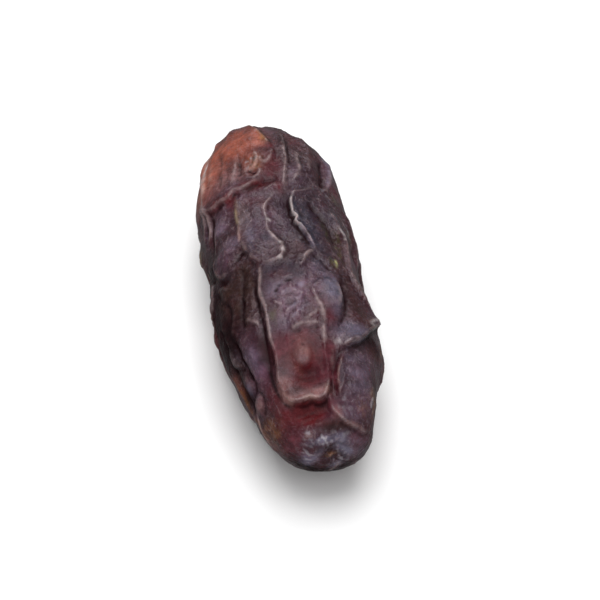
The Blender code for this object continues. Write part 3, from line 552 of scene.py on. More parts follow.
def skin_mesh(name, grid):
    """A closed mesh from a grid in millimetres, with its first and last rows drawn in to one point each."""
    rows, columns = grid.shape[:2]
    grid = grid * MM
    points = [tuple(grid[0, 0])] + [tuple(p) for row in grid[1:-1] for p in row] + [tuple(grid[-1, 0])]
    last = len(points) - 1
    faces = []
    for j in range(columns):
        k = (j + 1) % columns
        faces.append((0, 1 + k, 1 + j))
        faces.append((last, last - columns + j, last - columns + k))
        for i in range(rows - 3):
            low, high = 1 + i * columns, 1 + (i + 1) * columns
            faces.append((low + j, low + k, high + k, high + j))
    mesh = bpy.data.meshes.new(name)
    mesh.from_pydata(points, [], faces)
    mesh.validate()
    mesh.shade_smooth()
    return mesh


# The finer mesh. Crests and hollows are found by how far a point stands out of those a few cells away.
FINE_ROWS = 342
FINE_COLUMNS = 290
FINE_FINEST = 0.2
CREST_CELLS = 3
RISE_CELLS = 12

# The fine wrinkles: how high they are and how far across
CRUMPLE = (0.07, 1.9)
GRAIN = (0.025, 0.55)
CREASES = (0.08, 1.5)
SMALL_CREASES = (0.045, 0.75)

# The skin's colours, and tints that stand for painted shade, painted highlights and painted glints
TINTS = {
    "plum": (0.036, 0.012, 0.016),
    "slate": (0.028, 0.025, 0.040),
    "brown": (0.030, 0.014, 0.011),
    # painted shade: under folds and lobes, in creases, on the flanks and underneath
    "dark": (0.012, 0.006, 0.007),
    "shade": (0.022, 0.012, 0.022),
    "mauve": (0.105, 0.052, 0.080),
    "red": (0.095, 0.013, 0.016),
    "orange": (0.290, 0.074, 0.043),
    "olive": (0.055, 0.045, 0.012),
    "pink": (0.180, 0.080, 0.078),
    # the skin's wax bloom, and painted sheen where the skin faces the lights
    "bloom": (0.130, 0.115, 0.165),
    "amber": (0.320, 0.180, 0.060),
    "rose": (0.090, 0.024, 0.032),
    # flecks of wear, and painted glints
    "white": (0.550, 0.480, 0.480),
    # specks of wax, and painted glints
    "speck": (0.300, 0.270, 0.300),
    "pale": (0.300, 0.220, 0.220),
    # painted highlights along edges and crests
    "rosy": (0.450, 0.270, 0.230),
    "violet": (0.210, 0.165, 0.230),
    # painted shade, dark red, in creases and under rims
    "crimson": (0.075, 0.004, 0.006),
    "straw": (0.290, 0.210, 0.120),
    "lemon": (0.300, 0.290, 0.120),
    "rust": (0.190, 0.075, 0.022),
    # painted shade, dark red, in a crease
    "wine": (0.035, 0.003, 0.006),
    # pale crests: wear, and painted highlight
    "crest_wear_and_highlight": (0.240, 0.165, 0.165),
    # painted shade in the grooves
    "shaded_groove": (0.010, 0.003, 0.004),
    # painted shade in the hollows
    "shaded_hollow": (0.018, 0.004, 0.005),
}


# Soft oval patches, each with the s and a of its middle, its strength, and how far it reaches along the
# date and round it. These are where each tint lies over the plum, in the order in which they are laid.
PATCHES = {
    "slate": (
        (44.5, 25, 0.35, 5, 2.3),  # the right lobe
        (33, 20, 0.95, 6.2, 2.2),  # beside the sharp fold
        (36, 3, 0.6, 4.5, 1.6), (36, 40, 0.6, 4.4, 1.9),
        (26.1, 19, 0.6, 0.9, 1),  # above the bulge
        (27, -50, 0.35, 1.8, 1.5), (15, -65, 0.6, 0.9, 1),
    ),
    "brown": (
        (41.6, -45, 0.6, 1, 1.1),
        (24.4, -33, 0.8, 4.5, 1.5),  # the trough
        # painted shade on the left flank, in the first two of these
        (24.4, -56, 0.75, 4.5, 3.3), (19, -42, 0.6, 3.5, 1.5), (20.8, 38, 0.4, 3.6, 0.9),
        (17.4, 42, 0.4, 2.1, 1), (7, 62, 0.6, 2.7, 1.5),
        (13, 60, 0.8, 1.6, 2.2),  # painted shade under the thick fold
        (1.8, 11, 0.85, 0.9, 2.2),  # painted shade under the panel's corner
        (10.8, -83, 0.8, 2.6, 1.9),  # painted shade beside the thin edge along the lower left
        (30, 150, 0.5, 12, 7),
    ),
    "dark": (
        # painted shade under the lobes and folds, in creases, along the flanks and underneath
        (51.7, 16, 0.7, 3.2, 0.4), (44.8, 43, 0.25, 4.4, 1.1),
        (42.4, -8, 0.4, 0.7, 1.6),  # the shade under the left lobe
        (37.8, 7, 0.8, 2.8, 0.8), (31, -72, 0.8, 6, 4), (19, -76, 0.85, 6.5, 3.5),
        (18, -57, 0.55, 3, 2.2), (13, -38, 0.8, 3.6, 1.1), (10.5, -76, 0.75, 2.2, 1.3),
        (16.2, 24, 0.7, 1.3, 1), (10.2, 23, 0.4, 1.1, 0.7), (14.4, 58, 0.85, 1.2, 2),
        (14.2, 20, 0.5, 0.9, 0.8), (26, -95, 0.7, 9, 4), (20.5, 33, 0.5, 3.8, 0.9),
        (0.6, -140, 0.95, 1.4, 3.6), (0.3, 170, 0.95, 1, 2.6), (0.3, 135, 0.8, 0.6, 1.6),
        (0.3, -36, 0.7, 0.5, 0.7), (0.15, -11, 0.6, 0.8, 0.8), (39.3, 72, 0.5, 3, 1.5),
        (45.5, -1, 0.25, 1.6, 1.2), (1.2, -115, 0.5, 1, 1.6), (0.3, -8, 0.9, 0.22, 0.8),
    ),
    "mauve": (
        (44, -32, 0.55, 2, 2.1), (44, 20, 0.3, 1.8, 1), (56, 9, 0.4, 2, 1.3),
        (33.7, -13, 0.5, 5.5, 1.8),  # the smooth panel
        (35.3, 2, 0.45, 3.2, 1.2), (37, -45, 0.3, 1.7, 2),
        (31, -47, 0.55, 2.4, 1.7),  # the pillow on the upper flank
        (20.4, -3, 0.7, 3, 3),  # the middle panel
        (17.2, -11, 0.6, 1.5, 2.5),
        (12, -47.5, 0.75, 3, 1.5),  # the left flank's panel
        (47, 52, 0.5, 3, 1.6), (4.8, 40, 0.4, 2.2, 1.7), (5.2, -50, 0.12, 2.3, 1),
        (0.6, -76, 0.55, 1.7, 1.2), (33, 125, 0.35, 6, 4), (14, -140, 0.3, 6, 4),
    ),
    "shade": (
        (25.4, -11, 0.9, 1.2, 3),  # under the wavy fold
        (23.6, 1, 0.8, 1.3, 1.7), (22.6, -21, 0.4, 2.6, 1), (24.3, 22, 0.5, 0.9, 1),
        (22, -9, 0.3, 0.7, 1.8), (16, -22.5, 0.5, 2.8, 0.8), (31.4, -14, 0.5, 1.2, 0.8),
        (36, 25, 0.6, 2.5, 0.6), (31, -13, 0.35, 1, 1.2), (30.4, 1, 0.45, 1.5, 0.9),
        (36.3, -16, 0.45, 3.2, 0.7), (36.2, 4.5, 0.5, 3, 0.7),
        (7.5, 17.5, 0.35, 3, 0.8),  # the right panel's near edge
    ),
    "red": (
        (45, -52, 0.6, 2.3, 2.2), (41.3, -40, 0.8, 0.8, 2.4), (42.2, -14, 0.8, 0.9, 2.2),
        (53, 1, 0.7, 1.6, 0.7), (45.7, 2, 0.6, 3.2, 1.2), (41, 4, 0.5, 1.3, 0.7), (53, 27, 0.3, 2.4, 1),
        (40.4, -34, 0.5, 1.4, 0.7), (15.6, 17.5, 0.3, 1.4, 0.9), (10.2, -1, 0.8, 1, 0.8),
        (8.3, -5, 1, 1.3, 1.8),  # the hollow under the tongue's knob
        (7.8, -13, 0.8, 1.2, 1.2), (8.6, 14.5, 0.7, 2.8, 0.6),
        (4.2, -23, 1, 1.3, 2.8),  # the recess under the tongue
        (3.1, -12, 0.5, 1.2, 2.2), (2.6, -28, 0.6, 1, 2), (6.5, -48, 0.5, 3, 1.6),
        (2.2, -68, 0.35, 2.2, 1.8), (1.1, 58, 0.35, 1.5, 1.5), (30, -120, 0.6, 12, 5),
        (45, 130, 0.7, 9, 6), (12, 150, 0.6, 8, 6), (20, 105, 0.5, 6, 4), (52, -150, 0.7, 7, 5),
    ),
    "rose": (
        (13, -9, 0.85, 1.8, 3.2),  # the tongue
        (12.4, -21, 0.7, 2.4, 1.6), (8.3, -10, 0.5, 1.6, 3), (9.3, 4, 0.6, 2.5, 1.2),
        (10, 13.5, 0.7, 2.8, 0.9),  # beside it
        (17.4, 16, 0.4, 1.6, 1.6),
        (45, -1, 0.6, 2.6, 2),  # the left lobe, under its knob
        (46, -44, 0.5, 2.4, 2.6), (50.5, 2, 0.4, 1.6, 1), (1.8, -62, 0.85, 2, 1.8),
    ),
    "orange": (
        (51, -49, 0.95, 5.2, 2.8),  # the left lobe, thin and bright
        (50, -66, 0.85, 5.8, 3.2), (54, -18, 0.7, 3.6, 3), (51.5, -32, 0.6, 3.4, 3),
        (47.4, -13, 0.55, 2.4, 1.8), (53, -4, 0.6, 2.2, 1.2), (13, -86, 0.35, 1.9, 1.3),
        (57, 120, 0.6, 4, 5), (58, -120, 0.7, 5, 5),
    ),
    "pale": (
        (36.3, -25.5, 0.24, 2.4, 0.8),  # the smooth panel's left edge
        (33.2, -27, 0.12, 1.6, 0.6),
    ),
    "violet": (
        (15.8, -16, 0.3, 1.2, 0.9), (21.5, -16, 0.3, 1.6, 1), (21.5, 2, 0.5, 0.5, 0.5),
        (37, -48, 0.35, 1.3, 1.3), (32.6, -38, 0.3, 1.3, 1.3), (16.9, 24, 0.3, 1, 0.8),
        (10.9, -10, 0.5, 0.8, 0.9),
    ),
    "olive": (
        (17.3, -20, 0.45, 1.3, 0.9), (38, -92, 0.5, 1.8, 1.4), (40.5, 52, 0.5, 1.2, 0.8),
        (32.7, 32, 0.7, 2.1, 0.5), (29.6, 40, 0.4, 3.4, 0.9), (26.2, 29.5, 0.9, 0.8, 0.4),
        (31.8, 42, 0.5, 0.9, 0.5), (33.8, 57, 0.5, 1.4, 0.5),
    ),
    "pink": (
        (46.2, -33, 0.45, 2.6, 2.4),  # the left lobe's lower half
        (44.6, -50, 0.4, 1.8, 2.6), (45, -21, 0.3, 1.6, 2), (45.6, -38, 0.5, 1.5, 1),
        (29.6, -60, 0.5, 0.6, 0.8), (50, -40, 0.25, 2, 1.2), (12.9, -7, 0.4, 1.3, 1.3),
        (11.2, -9.5, 0.9, 1.2, 1.6),  # the tongue's knob
        (9, -28, 0.15, 2.5, 1.4),
        (5.9, -17, 0.55, 0.65, 3.2),  # the tongue's rim
        (5.9, 0, 0.6, 0.6, 1.6), (7.8, -33, 0.75, 1.4, 0.9), (3.2, 13, 0.5, 1, 0.6),
        (2, 29, 0.4, 0.4, 1.1), (7.7, -66, 0.55, 1.1, 0.9), (4.5, -94, 0.4, 2.7, 1.1),
        (1.6, -31, 0.4, 0.4, 0.6),
    ),
    "bloom": (
        # wax bloom, and painted sheen on the faces towards the lights: the bulge, the thick fold, the panel
        # under it and the tip
        (50.5, 60, 0.75, 2.4, 1.2), (32.7, -24, 0.4, 3.4, 0.7),
        (20.5, 23, 0.9, 2.7, 1.2),  # the bulge
        (21, 27, 0.5, 1.6, 0.5), (24.6, 17, 0.3, 1.3, 1),
        (13.8, 32, 0.6, 1.4, 2.5),  # the thick fold
        (8.4, 36, 0.4, 3.4, 1.9),  # the panel under it
        (3, 30, 0.12, 0.9, 1.3), (10.7, -68, 0.3, 1, 0.9), (13, -48, 0.3, 1.8, 1.3),
        (0.75, -8, 0.85, 0.6, 2.3),  # round the tip's scar
        (0.4, 28, 0.75, 0.9, 1.1), (0.2, -50, 0.6, 0.5, 1.2), (0.2, 60, 0.8, 0.7, 1.1),
        (0.1, 150, 0.7, 0.5, 1), (0.4, -80, 0.4, 0.9, 1), (0.6, -95, 0.35, 0.8, 0.9),
        (0.8, 70, 0.35, 1.2, 2), (34, 175, 0.3, 8, 4),
    ),
    "amber": (
        (47.2, -10, 0.35, 1.4, 1), (53.2, 0, 0.4, 1.4, 0.4),
        (38.6, -30, 0.3, 1.6, 0.3),  # the smooth panel's far edge
        (6.2, 58, 0.5, 0.9, 0.7), (4.6, -79, 0.12, 1.5, 2.2), (37.5, -92, 0.5, 3, 0.6),
    ),
    "lemon": (
        (26.2, 33, 0.9, 0.5, 0.22), (25.4, 32.4, 0.6, 0.4, 0.2),
    ),
    "white": (
        (34.7, -9, 0.8, 0.28, 0.28),  # flecks on the wavy fold and the sharp one: wear, and painted glints
        (31.2, -8, 0.6, 0.25, 0.25), (29.9, -4, 0.9, 0.35, 0.3), (28.3, -4, 0.7, 0.4, 0.25),
        (26.9, -7, 0.8, 0.3, 0.3), (35, 11, 0.9, 0.45, 0.25), (16.2, 56, 0.6, 0.3, 1.2),
    ),
    "rust": (
        (0.1, -6, 0.95, 0.4, 0.7),  # the scar at the tip
        (12, -87, 0.5, 2.6, 0.5),  # the edge along the lower left
        (7.8, -89, 0.6, 2.2, 0.5), (14.6, 78, 0.7, 1.4, 0.5), (5.2, 64, 0.6, 1.8, 0.4),
        (4.5, -73, 0.35, 1.4, 1.6), (4.3, 43, 0.25, 1.3, 1), (9, -15, 0.12, 1.6, 0.5),
    ),
    "speck": (
        (0.8, -8, 1, 0.9, 2.4),  # the tip's bloom, with painted glints
        (0.4, -70, 0.6, 1.2, 1.2), (0.1, 70, 0.9, 1, 1.4), (17, 79, 0.8, 0.8, 0.5),
        (1.7, -31, 0.9, 0.4, 0.6),
        (5.5, 57, 0.8, 1.8, 0.6),  # the right panel
        (4, 25, 0.25, 1.5, 1.8),
        (35, 55, 0.8, 1.8, 0.6),  # the rim over the right flank, with painted glints
        (41.5, 40, 0.4, 1.4, 2),
        (34, 12, 0.8, 3.5, 0.5),  # painted glints on the sharp fold
        (50, 58, 0.5, 2.5, 1),
        (47.5, -11, 0.7, 1.8, 1.5),  # the knot
    ),
}

# How patchy a tint is, and the tints that are less so
PATCHY = 0.6
LESS_PATCHY = {"red": 0.2, "orange": 0.35, "pink": 0.4}
FLECKED = ("amber", "olive", "lemon", "rust")  # tints that come in flecks

# The tints that take shine away, as patches and as lines
MATT_PATCHES = ("red", "dark", "brown", "rose")
MATT_LINES = ("dark", "crimson", "wine", "slate", "shade")
PATCH_DULLNESS = 0.7
LINE_DULLNESS = 0.6

# How far across the lumps are by which the colour varies
CLOUD_SIZE = 5.0
RED_CLOUD_SIZE = 3.2
MOTTLE_SIZE = 1.3
FLECK_SIZE = 0.45
GAP_SIZE = 0.9  # of the gaps in a line

# The left lobe's edge, which its orange doesn't cross: its s at two angles, how far round it reaches and how
# soft it is. It leaves the tip's end of the date, up to TIP_PART, as it is.
LOBE_ANGLES = (-22.0, -2.0)
LOBE_EDGE = (42.6, 44.4)
LOBE_REACH = 80.0
LOBE_SOFTNESS = 0.6
TIP_PART = 20.0

# Places with less shine
DULL_PATCHES = (
    (3.6, -18, 0.65, 1.5, 3.6),  # the recess under the tongue
    (8.4, -6, 0.8, 1.5, 2), (9.6, 3, 0.5, 2.4, 1.3),
    (11.8, -11, 0.8, 3.6, 3.6),  # the tongue
    (6.3, -14, 0.45, 1.2, 3.6),
    (24.6, -8, 0.6, 1.8, 3.6),  # under the wavy fold
    (22.5, -22, 0.3, 3, 1), (16, 20, 0.75, 1.8, 1.7), (10, 14, 0.6, 3, 0.9), (13, -38.5, 0.85, 4.2, 1.2),
    (18.6, -55, 0.55, 3, 2.8), (16, -22.5, 0.4, 3, 0.9), (10.5, -76, 0.6, 2.4, 1.5),
    (35.5, 25.5, 0.6, 3, 0.8), (4.6, 12, 0.35, 1.2, 1.3), (31.4, -14, 0.4, 1.2, 0.9),
    (38.5, 6, 0.5, 2.4, 1.3), (13.7, 58, 0.85, 1.9, 3), (14.2, 20, 0.5, 1, 1), (4, 18, 0.4, 1.4, 1.4),
    (10.7, -68, 0.4, 1.2, 1.2), (4.6, -31, 0.6, 0.8, 1.6), (1.8, 13, 0.6, 1.1, 2.6),
    (42, -14, 0.5, 0.9, 2.4), (25, -95, 0.7, 10, 4), (21, -19, 0.3, 4.5, 1.3), (13, -42, 0.3, 4, 1.6),
    (3, -5, 0.7, 1.6, 2.6), (32, 22, 0.3, 5, 2.4), (7.5, 38, 0.35, 4, 3.4), (0.5, -150, 0.85, 1.2, 3.8),
    (44, 40, 0.2, 5, 3),
    (50, -50, 0.3, 7, 7),  # the left lobe
    (46, -3, 0.3, 3.5, 2),
    (24, -48, 0.4, 6.5, 3.5),  # the left flank
    (22, -72, 0.5, 8, 4), (9, -62, 0.3, 4.5, 4),
)

# Places with more of the fine wrinkles
CRUMPLED = (
    (47, -11, 1, 2.4, 2.2),  # the knot on the left lobe
    (46, 22, 0.5, 4, 2.5), (20, -5, 1, 4, 3.4), (29.5, -16, 0.8, 2.4, 2.2), (24.5, -32, 0.6, 4.5, 1.6),
    (14, -8, 0.5, 1.4, 2.4), (1, -10, 0.5, 1.2, 3), (34, 6, 0.5, 4, 2), (8.5, 32, 0.4, 3, 2.5),
)

# Places with fewer of them
SMOOTH = (
    (34, -19, 0.7, 5, 1.8),  # the smooth panel
    (19.6, 21, 0.7, 2.6, 1.4),  # the bulge
    (8.6, -6, 0.9, 1.6, 2.6),  # the hollow under the tongue's knob
    (3.8, -18, 0.7, 1.6, 3.4), (8, 34, 0.4, 3, 2.4),
    (51, -52, 0.6, 6, 4),  # the left lobe
)


def fold_path(s, a):
    """The path of the fold that starts at the place (s, a)."""
    return next(fold.path for fold in STEM_LOBES + MIDDLE + RIGHT + LEFT if fold.path[0] == (s, a))


# Thin lines along the folds, pale crests that are wear and painted highlight, and creases with painted
# shade: each with its path, its tint, its strength and its width
LINES = (
    # painted shade in the creases of the left flank
    (fold_path(41.3, -54), "dark", 0.6, 0.35),
    (fold_path(35.1, -88), "dark", 0.5, 0.6),
    (fold_path(27.2, -65), "dark", 0.7, 0.4),
    (fold_path(22.5, -39), "dark", 0.7, 0.4),
    (fold_path(21.5, -72), "dark", 0.7, 0.4),
    (fold_path(17.8, -58), "dark", 0.7, 0.4),
    (fold_path(9.7, -62)[:4], "dark", 0.5, 0.3),
    (fold_path(15.5, -76), "dark", 0.5, 0.45),
    # the trough beside the rail, with painted shade in its creases
    (fold_path(28.6, -38), "dark", 0.6, 0.35),
    (((26.1, -26), (23.6, -28), (21.6, -29), (19.9, -29), (18, -30), (16, -31), (15, -32), (13.6, -34),
      (12.2, -36), (10.9, -37.5), (9.3, -40), (7.2, -40), (5.8, -37)), "dark", 0.8, 0.3),
    (((28.3, -35), (24.9, -36), (21.6, -40), (19.8, -42), (17.8, -45)), "dark", 0.6, 0.25),
    (((14, -29), (12.6, -30), (10.7, -34)), "dark", 0.5, 0.25),
    (((11.5, -37), (9.3, -40), (7.2, -40.5), (5.6, -38), (4.6, -33)), "dark", 0.85, 0.25),
    (fold_path(18.6, -40), "pale", 0.25, 0.25),
    # creases with dark red painted shade: under the tongue, at the right panel's edge and under the left
    # lobe
    (((5, -35), (4.9, -29), (4.8, -21), (4.9, -15), (4.6, -9), (4.6, -2), (4.4, 3)), "crimson", 0.45, 0.3),
    (((11.3, 24.3), (9.7, 21), (8.9, 18), (8.1, 16), (6.5, 15), (5.6, 16), (4.7, 20)), "wine", 0.95, 0.25),
    (((42.4, -8), (41.8, -15), (41.4, -22)), "crimson", 0.7, 0.6),
    (((45.1, -17), (45.1, -14), (44.3, -11)), "crimson", 0.8, 0.25),
    (((46.7, -5), (46.3, -2), (46.7, 1)), "crimson", 0.7, 0.25),
    (((51.8, 4.5), (50.1, 6), (48.5, 7)), "crimson", 0.6, 0.4),
    (((3.6, -30), (3.3, -20), (3.2, -11), (3.6, -3)), "crimson", 0.5, 0.3),
    # shade round the bulge, under the left lobe and along the seam
    (((24.6, 34), (22.4, 34), (20.2, 33), (18, 30), (16.3, 26), (15, 20.5),
      (13.9, 17.5)), "dark", 0.5, 0.5),
    (((42.4, -8), (41.7, -17), (41.4, -25)), "dark", 0.6, 0.5),
    (((40.8, -37), (40.7, -46)), "dark", 0.5, 0.45),
    (((54, 19), (51.3, 17.5), (49, 17.8)), "dark", 0.7, 0.4),
    (fold_path(20.7, -17), "dark", 0.45, 0.3),
    # the left lobe's outer edge with a painted highlight, and the right lobe with painted shade in its
    # creases
    (((57, -48), (55.9, -55), (54.2, -59.5), (52, -60.5), (49.6, -57.5), (47.5, -56.5), (45.5, -57),
      (44, -61)), "rosy", 0.95, 0.38),
    (fold_path(42.2, 13), "pale", 0.4, 0.3),
    (((51, 60), (47.7, 55.5), (44.6, 50.5), (42.6, 46)), "violet", 0.6, 0.35),
    (((49.2, 48), (46.2, 44.5), (43.7, 42.5)), "dark", 0.6, 0.5),
    (((41, 29), (38.6, 25), (35.8, 30.5), (33, 37), (30, 38)), "dark", 0.6, 0.5),
    # painted shade and a slate band beside the sharp fold
    (((28.5, 15.5), (29.8, 12.5), (31.6, 12), (33, 10), (34.3, 9), (35.9, 8),
      (38.4, 10)), "dark", 0.9, 0.3),
    (((28.7, 22), (30.5, 19.6), (32.3, 17), (33.5, 15), (34.8, 14), (36, 12.6), (38, 12.6),
      (39.3, 14.5)), "slate", 0.95, 0.35),
    (((38.5, 23), (36.6, 26), (34.6, 30), (32.5, 33), (30, 33)), "dark", 0.6, 0.6),
    (((37, 13), (35.5, 15), (34.4, 17)), "dark", 0.6, 0.25),
    (((26.2, 31), (27.9, 27), (29, 25)), "slate", 0.5, 0.5),
    # round the tongue's knob: painted shade under its edge, and a painted highlight along it
    (((12.6, -18), (10.8, -16.8), (9.6, -14), (9.2, -9.5), (9.6, -5), (10.8, -2),
      (12.4, -1)), "crimson", 0.6, 0.32),
    (((12, -15), (10.9, -14), (10.2, -9.5), (10.7, -5), (11.8, -4)), "pink", 0.45, 0.4),
    # ripples of the middle panel: painted shade in their troughs, and painted highlights on their crests
    (((18.1, -9), (18.4, -6), (18.9, -3)), "shade", 0.6, 0.25),
    (((17.2, -2), (18, 1), (18.6, 5)), "shade", 0.6, 0.25),
    (((19.8, 12), (18.9, 12), (18, 13)), "shade", 0.6, 0.35),
    (((21, 10), (21.7, 13), (22.2, 16), (21.8, 18)), "shade", 0.8, 0.3),
    (((22.3, 18), (22.6, 22), (22.2, 25)), "slate", 0.7, 0.3),
    (((21.8, -13), (22.5, -10), (23.1, -7), (22.8, -3)), "violet", 0.3, 0.25),
    (fold_path(20.3, -14), "violet", 0.4, 0.22),
    (fold_path(19.1, -14), "violet", 0.4, 0.22),
    (fold_path(17.4, -12), "violet", 0.4, 0.22),
    (fold_path(16.4, -10), "violet", 0.35, 0.22),
    (fold_path(15.9, -2), "pale", 0.35, 0.25),
    # crests from the left lobe down to the sharp fold: wear and painted highlights, a painted glint on the
    # fold
    (((44.8, -60), (42.5, -61.5), (40, -65)), "pale", 0.5, 0.35),
    (fold_path(43.6, -58.5), "pale", 0.6, 0.3),
    (fold_path(44.1, -66)[2:], "pale", 0.35, 0.25),
    (fold_path(49.6, -9.5), "rosy", 0.5, 0.3),
    (fold_path(45.9, -6.5), "pale", 0.4, 0.25),
    (fold_path(50.8, -10)[1:5], "pale", 0.5, 0.3),
    (((51, 15.5), (49.7, 15), (47.2, 14), (44.4, 11), (42.3, 10), (40.1, 9)), "pale", 0.45, 0.3),
    (fold_path(26.2, -21), "pale", 0.5, 0.25),
    (((39.6, 12.6), (38, 10.3), (36.5, 10), (35.5, 10), (35.1, 11.7), (34.6, 12), (34.2, 10.3),
      (33.5, 11.3), (33, 13), (31.8, 15)), "white", 0.9, 0.11),
    (((33.2, 13), (31.8, 15), (30, 17.5), (28.4, 20)), "violet", 0.6, 0.2),
    (fold_path(28, 18)[:5], "pale", 0.6, 0.25),
    # crests of the rail, the hood and the tongue, painted pale as wear and highlight
    (((26.9, -22), (24.4, -23), (22.7, -25), (21.3, -26), (19, -25), (16.8, -26), (14.6, -28),
      (12.5, -28.5)), "pale", 0.7, 0.2),
    (((30.2, -73.5), (28.7, -70.5), (27.1, -72), (25.5, -77)), "pale", 0.6, 0.35),
    (((19.8, 9.5), (18.5, 11), (17.3, 13), (16, 12.5), (14.5, 11), (13, 10.5),
      (12, 10)), "pale", 0.7, 0.3),
    (((14.7, -12), (15.1, -8), (15.3, -3), (15.2, 2), (15.1, 8)), "pale", 0.45, 0.3),
    (((7.7, -36), (6.5, -35.5), (5.6, -32), (5.4, -28)), "rosy", 0.4, 0.35),
    (((5.6, -21), (5.5, -13), (5.3, -8), (5.4, -3)), "rosy", 0.8, 0.22),
    (((6.9, 6.5), (6.1, 5), (5.5, 1)), "rosy", 0.35, 0.3),
    # the right panel's edge: a painted highlight, and painted shade beside it
    (((9.4, 20.5), (8.7, 18.8), (7.6, 17.3), (6.5, 16.6)), "rosy", 0.3, 0.12),
    (((9.6, 22.5), (8.6, 20.8), (7.6, 19.6), (6.5, 19)), "shade", 0.6, 0.4),
    # the left lobe's painted glints, its pleats, and its edge over the right lobe, with painted shade under
    # them
    (((54, -56.5), (51.8, -58.5), (49.8, -59.5), (47.5, -59.5), (45.2, -60),
      (43.3, -60)), "white", 0.8, 0.2),
    (fold_path(49.6, -24), "pale", 0.4, 0.3),
    (((52.5, -27), (50.8, -22.5), (48.4, -22), (46, -22), (44.3, -24)), "dark", 0.45, 0.35),
    (fold_path(53.5, -41)[:4], "brown", 0.5, 0.4),
    (fold_path(50.5, -34)[:3], "dark", 0.35, 0.3),
    (fold_path(52, -51), "rosy", 0.3, 0.4),
    (((58.5, -9), (55.5, -2.5), (53.2, 1.5), (51.3, 3)), "rust", 0.8, 0.4),
    (((59, -4), (55.8, 1), (53.4, 4.5), (51.3, 6)), "dark", 0.6, 0.3),
    # the right panel, the tip and the thick fold: painted highlights on their crests, and painted shade
    # under them
    (((11.5, 16), (10, 14.5), (8.6, 14)), "pale", 0.35, 0.25),
    (((4.6, 7), (3.7, 9), (3.1, 13), (2.5, 18), (2.1, 27), (1.8, 38), (1.7, 48),
      (1.9, 62)), "pale", 0.45, 0.12),
    (((2.2, 15), (1.8, 22), (1.6, 34)), "dark", 0.6, 0.3),
    (((0.35, 190), (0.25, 178), (0.12, 150), (0.12, 120)), "pale", 0.6, 0.16),
    (((33.9, 41), (33.4, 46), (32.7, 49.5), (31.8, 49)), "white", 0.85, 0.2),
    (((1.8, -38), (1.45, -33), (1.5, -26)), "pale", 0.4, 0.25),
    (((22.1, 28.5), (19.9, 28), (18, 25)), "pale", 0.5, 0.3),
    (((12.2, 17), (12.4, 23)), "white", 0.5, 0.35),
    (((16.4, 50), (17.7, 58), (18.9, 67)), "white", 0.8, 0.2),
    (((12.2, 27), (12.9, 36), (13.8, 44), (15.1, 52), (16.7, 62), (18, 72)), "dark", 0.8, 0.4),
    # the thin edge at the lower left with a painted highlight, and the smooth panel's far edge
    (((8.3, -77), (6.9, -85), (6, -90), (5, -96), (4, -107)), "rosy", 0.7, 0.25),
    (((38.4, -30.6), (37.5, -31.5), (36.5, -31.5), (35.2, -31)), "straw", 0.85, 0.2),
    (((35.4, -31), (34.4, -31.6), (33.4, -32), (32.2, -32.5)), "rosy", 0.5, 0.18),
    (((31.8, -32), (31, -30.5), (30, -29)), "pale", 0.4, 0.25),
)


def patches_at(patches, points):
    """How strong a set of patches is at each point, from 0 to 1."""
    total = np.zeros(len(points))
    for patch in patches:
        total += swell_offset(Swell(*patch), points)
    return np.clip(total, 0.0, 1.0)


def lobe_side(s, a):
    """0 where the left lobe's edge keeps its orange out, and 1 elsewhere."""
    turn = np.degrees((a + math.pi) % (2.0 * math.pi) - math.pi)
    edge = np.interp(turn, LOBE_ANGLES, LOBE_EDGE)
    ruled = (np.abs(turn) < LOBE_REACH) & (s > TIP_PART)
    return np.where(ruled, np.clip((s - edge) / LOBE_SOFTNESS, 0.0, 1.0), 1.0)


def tint_points(s, a, points, normals):
    """The skin's colour at each point, painted shade and highlights included, and how much of it shines."""
    cloud = noise_at(points, CLOUD_SIZE, 61.0)
    mottle = noise_at(points, MOTTLE_SIZE, 17.0)
    flecks = noise_at(points * np.array([1.0, 0.6, 1.0]), FLECK_SIZE, 71.0)
    colour = np.tile(np.array(TINTS["plum"]), (len(points), 1))
    shine = np.ones(len(points))
    drift = (("brown", cloud), ("mauve", -cloud), ("red", noise_at(points, RED_CLOUD_SIZE, 88.0)))
    for tint, amount in drift:
        share = np.clip(0.9 * amount - 0.1, 0.0, 0.5)[:, None]
        colour += share * (np.array(TINTS[tint]) - colour)
    for tint, patches in PATCHES.items():
        share = patches_at(patches, points)
        if tint == "orange":
            share = share * lobe_side(s, a)
        if tint in FLECKED:
            share = share * np.clip(0.8 + 1.6 * flecks, 0.0, 1.3)
        if tint == "speck":
            share = share * np.clip(3.5 * (flecks - 0.1), 0.0, 1.0)
        share = np.clip(share * (1.0 + LESS_PATCHY.get(tint, PATCHY) * mottle), 0.0, 1.0)
        colour += share[:, None] * (np.array(TINTS[tint]) - colour)
        if tint in MATT_PATCHES:
            shine *= 1.0 - PATCH_DULLNESS * share
    colour *= (1.0 + 0.25 * mottle)[:, None]
    shine *= 1.0 - patches_at(DULL_PATCHES, points)
    broken = np.clip(0.8 + 1.2 * noise_at(points, GAP_SIZE, 5.5), 0.15, 1.0)
    for path, tint, amount, width in LINES:
        near, signed, travel = beside(path, points, normals, 3.0 * width + 0.5)
        ends = np.clip(np.minimum(travel, 1.0 - travel) * 8.0, 0.0, 1.0)
        share = amount * np.exp(-((signed / width) ** 2)) * ends * broken[near]
        colour[near] += share[:, None] * (np.array(TINTS[tint]) - colour[near])
        if tint in MATT_LINES:
            shine[near] *= 1.0 - LINE_DULLNESS * share
    return colour, shine


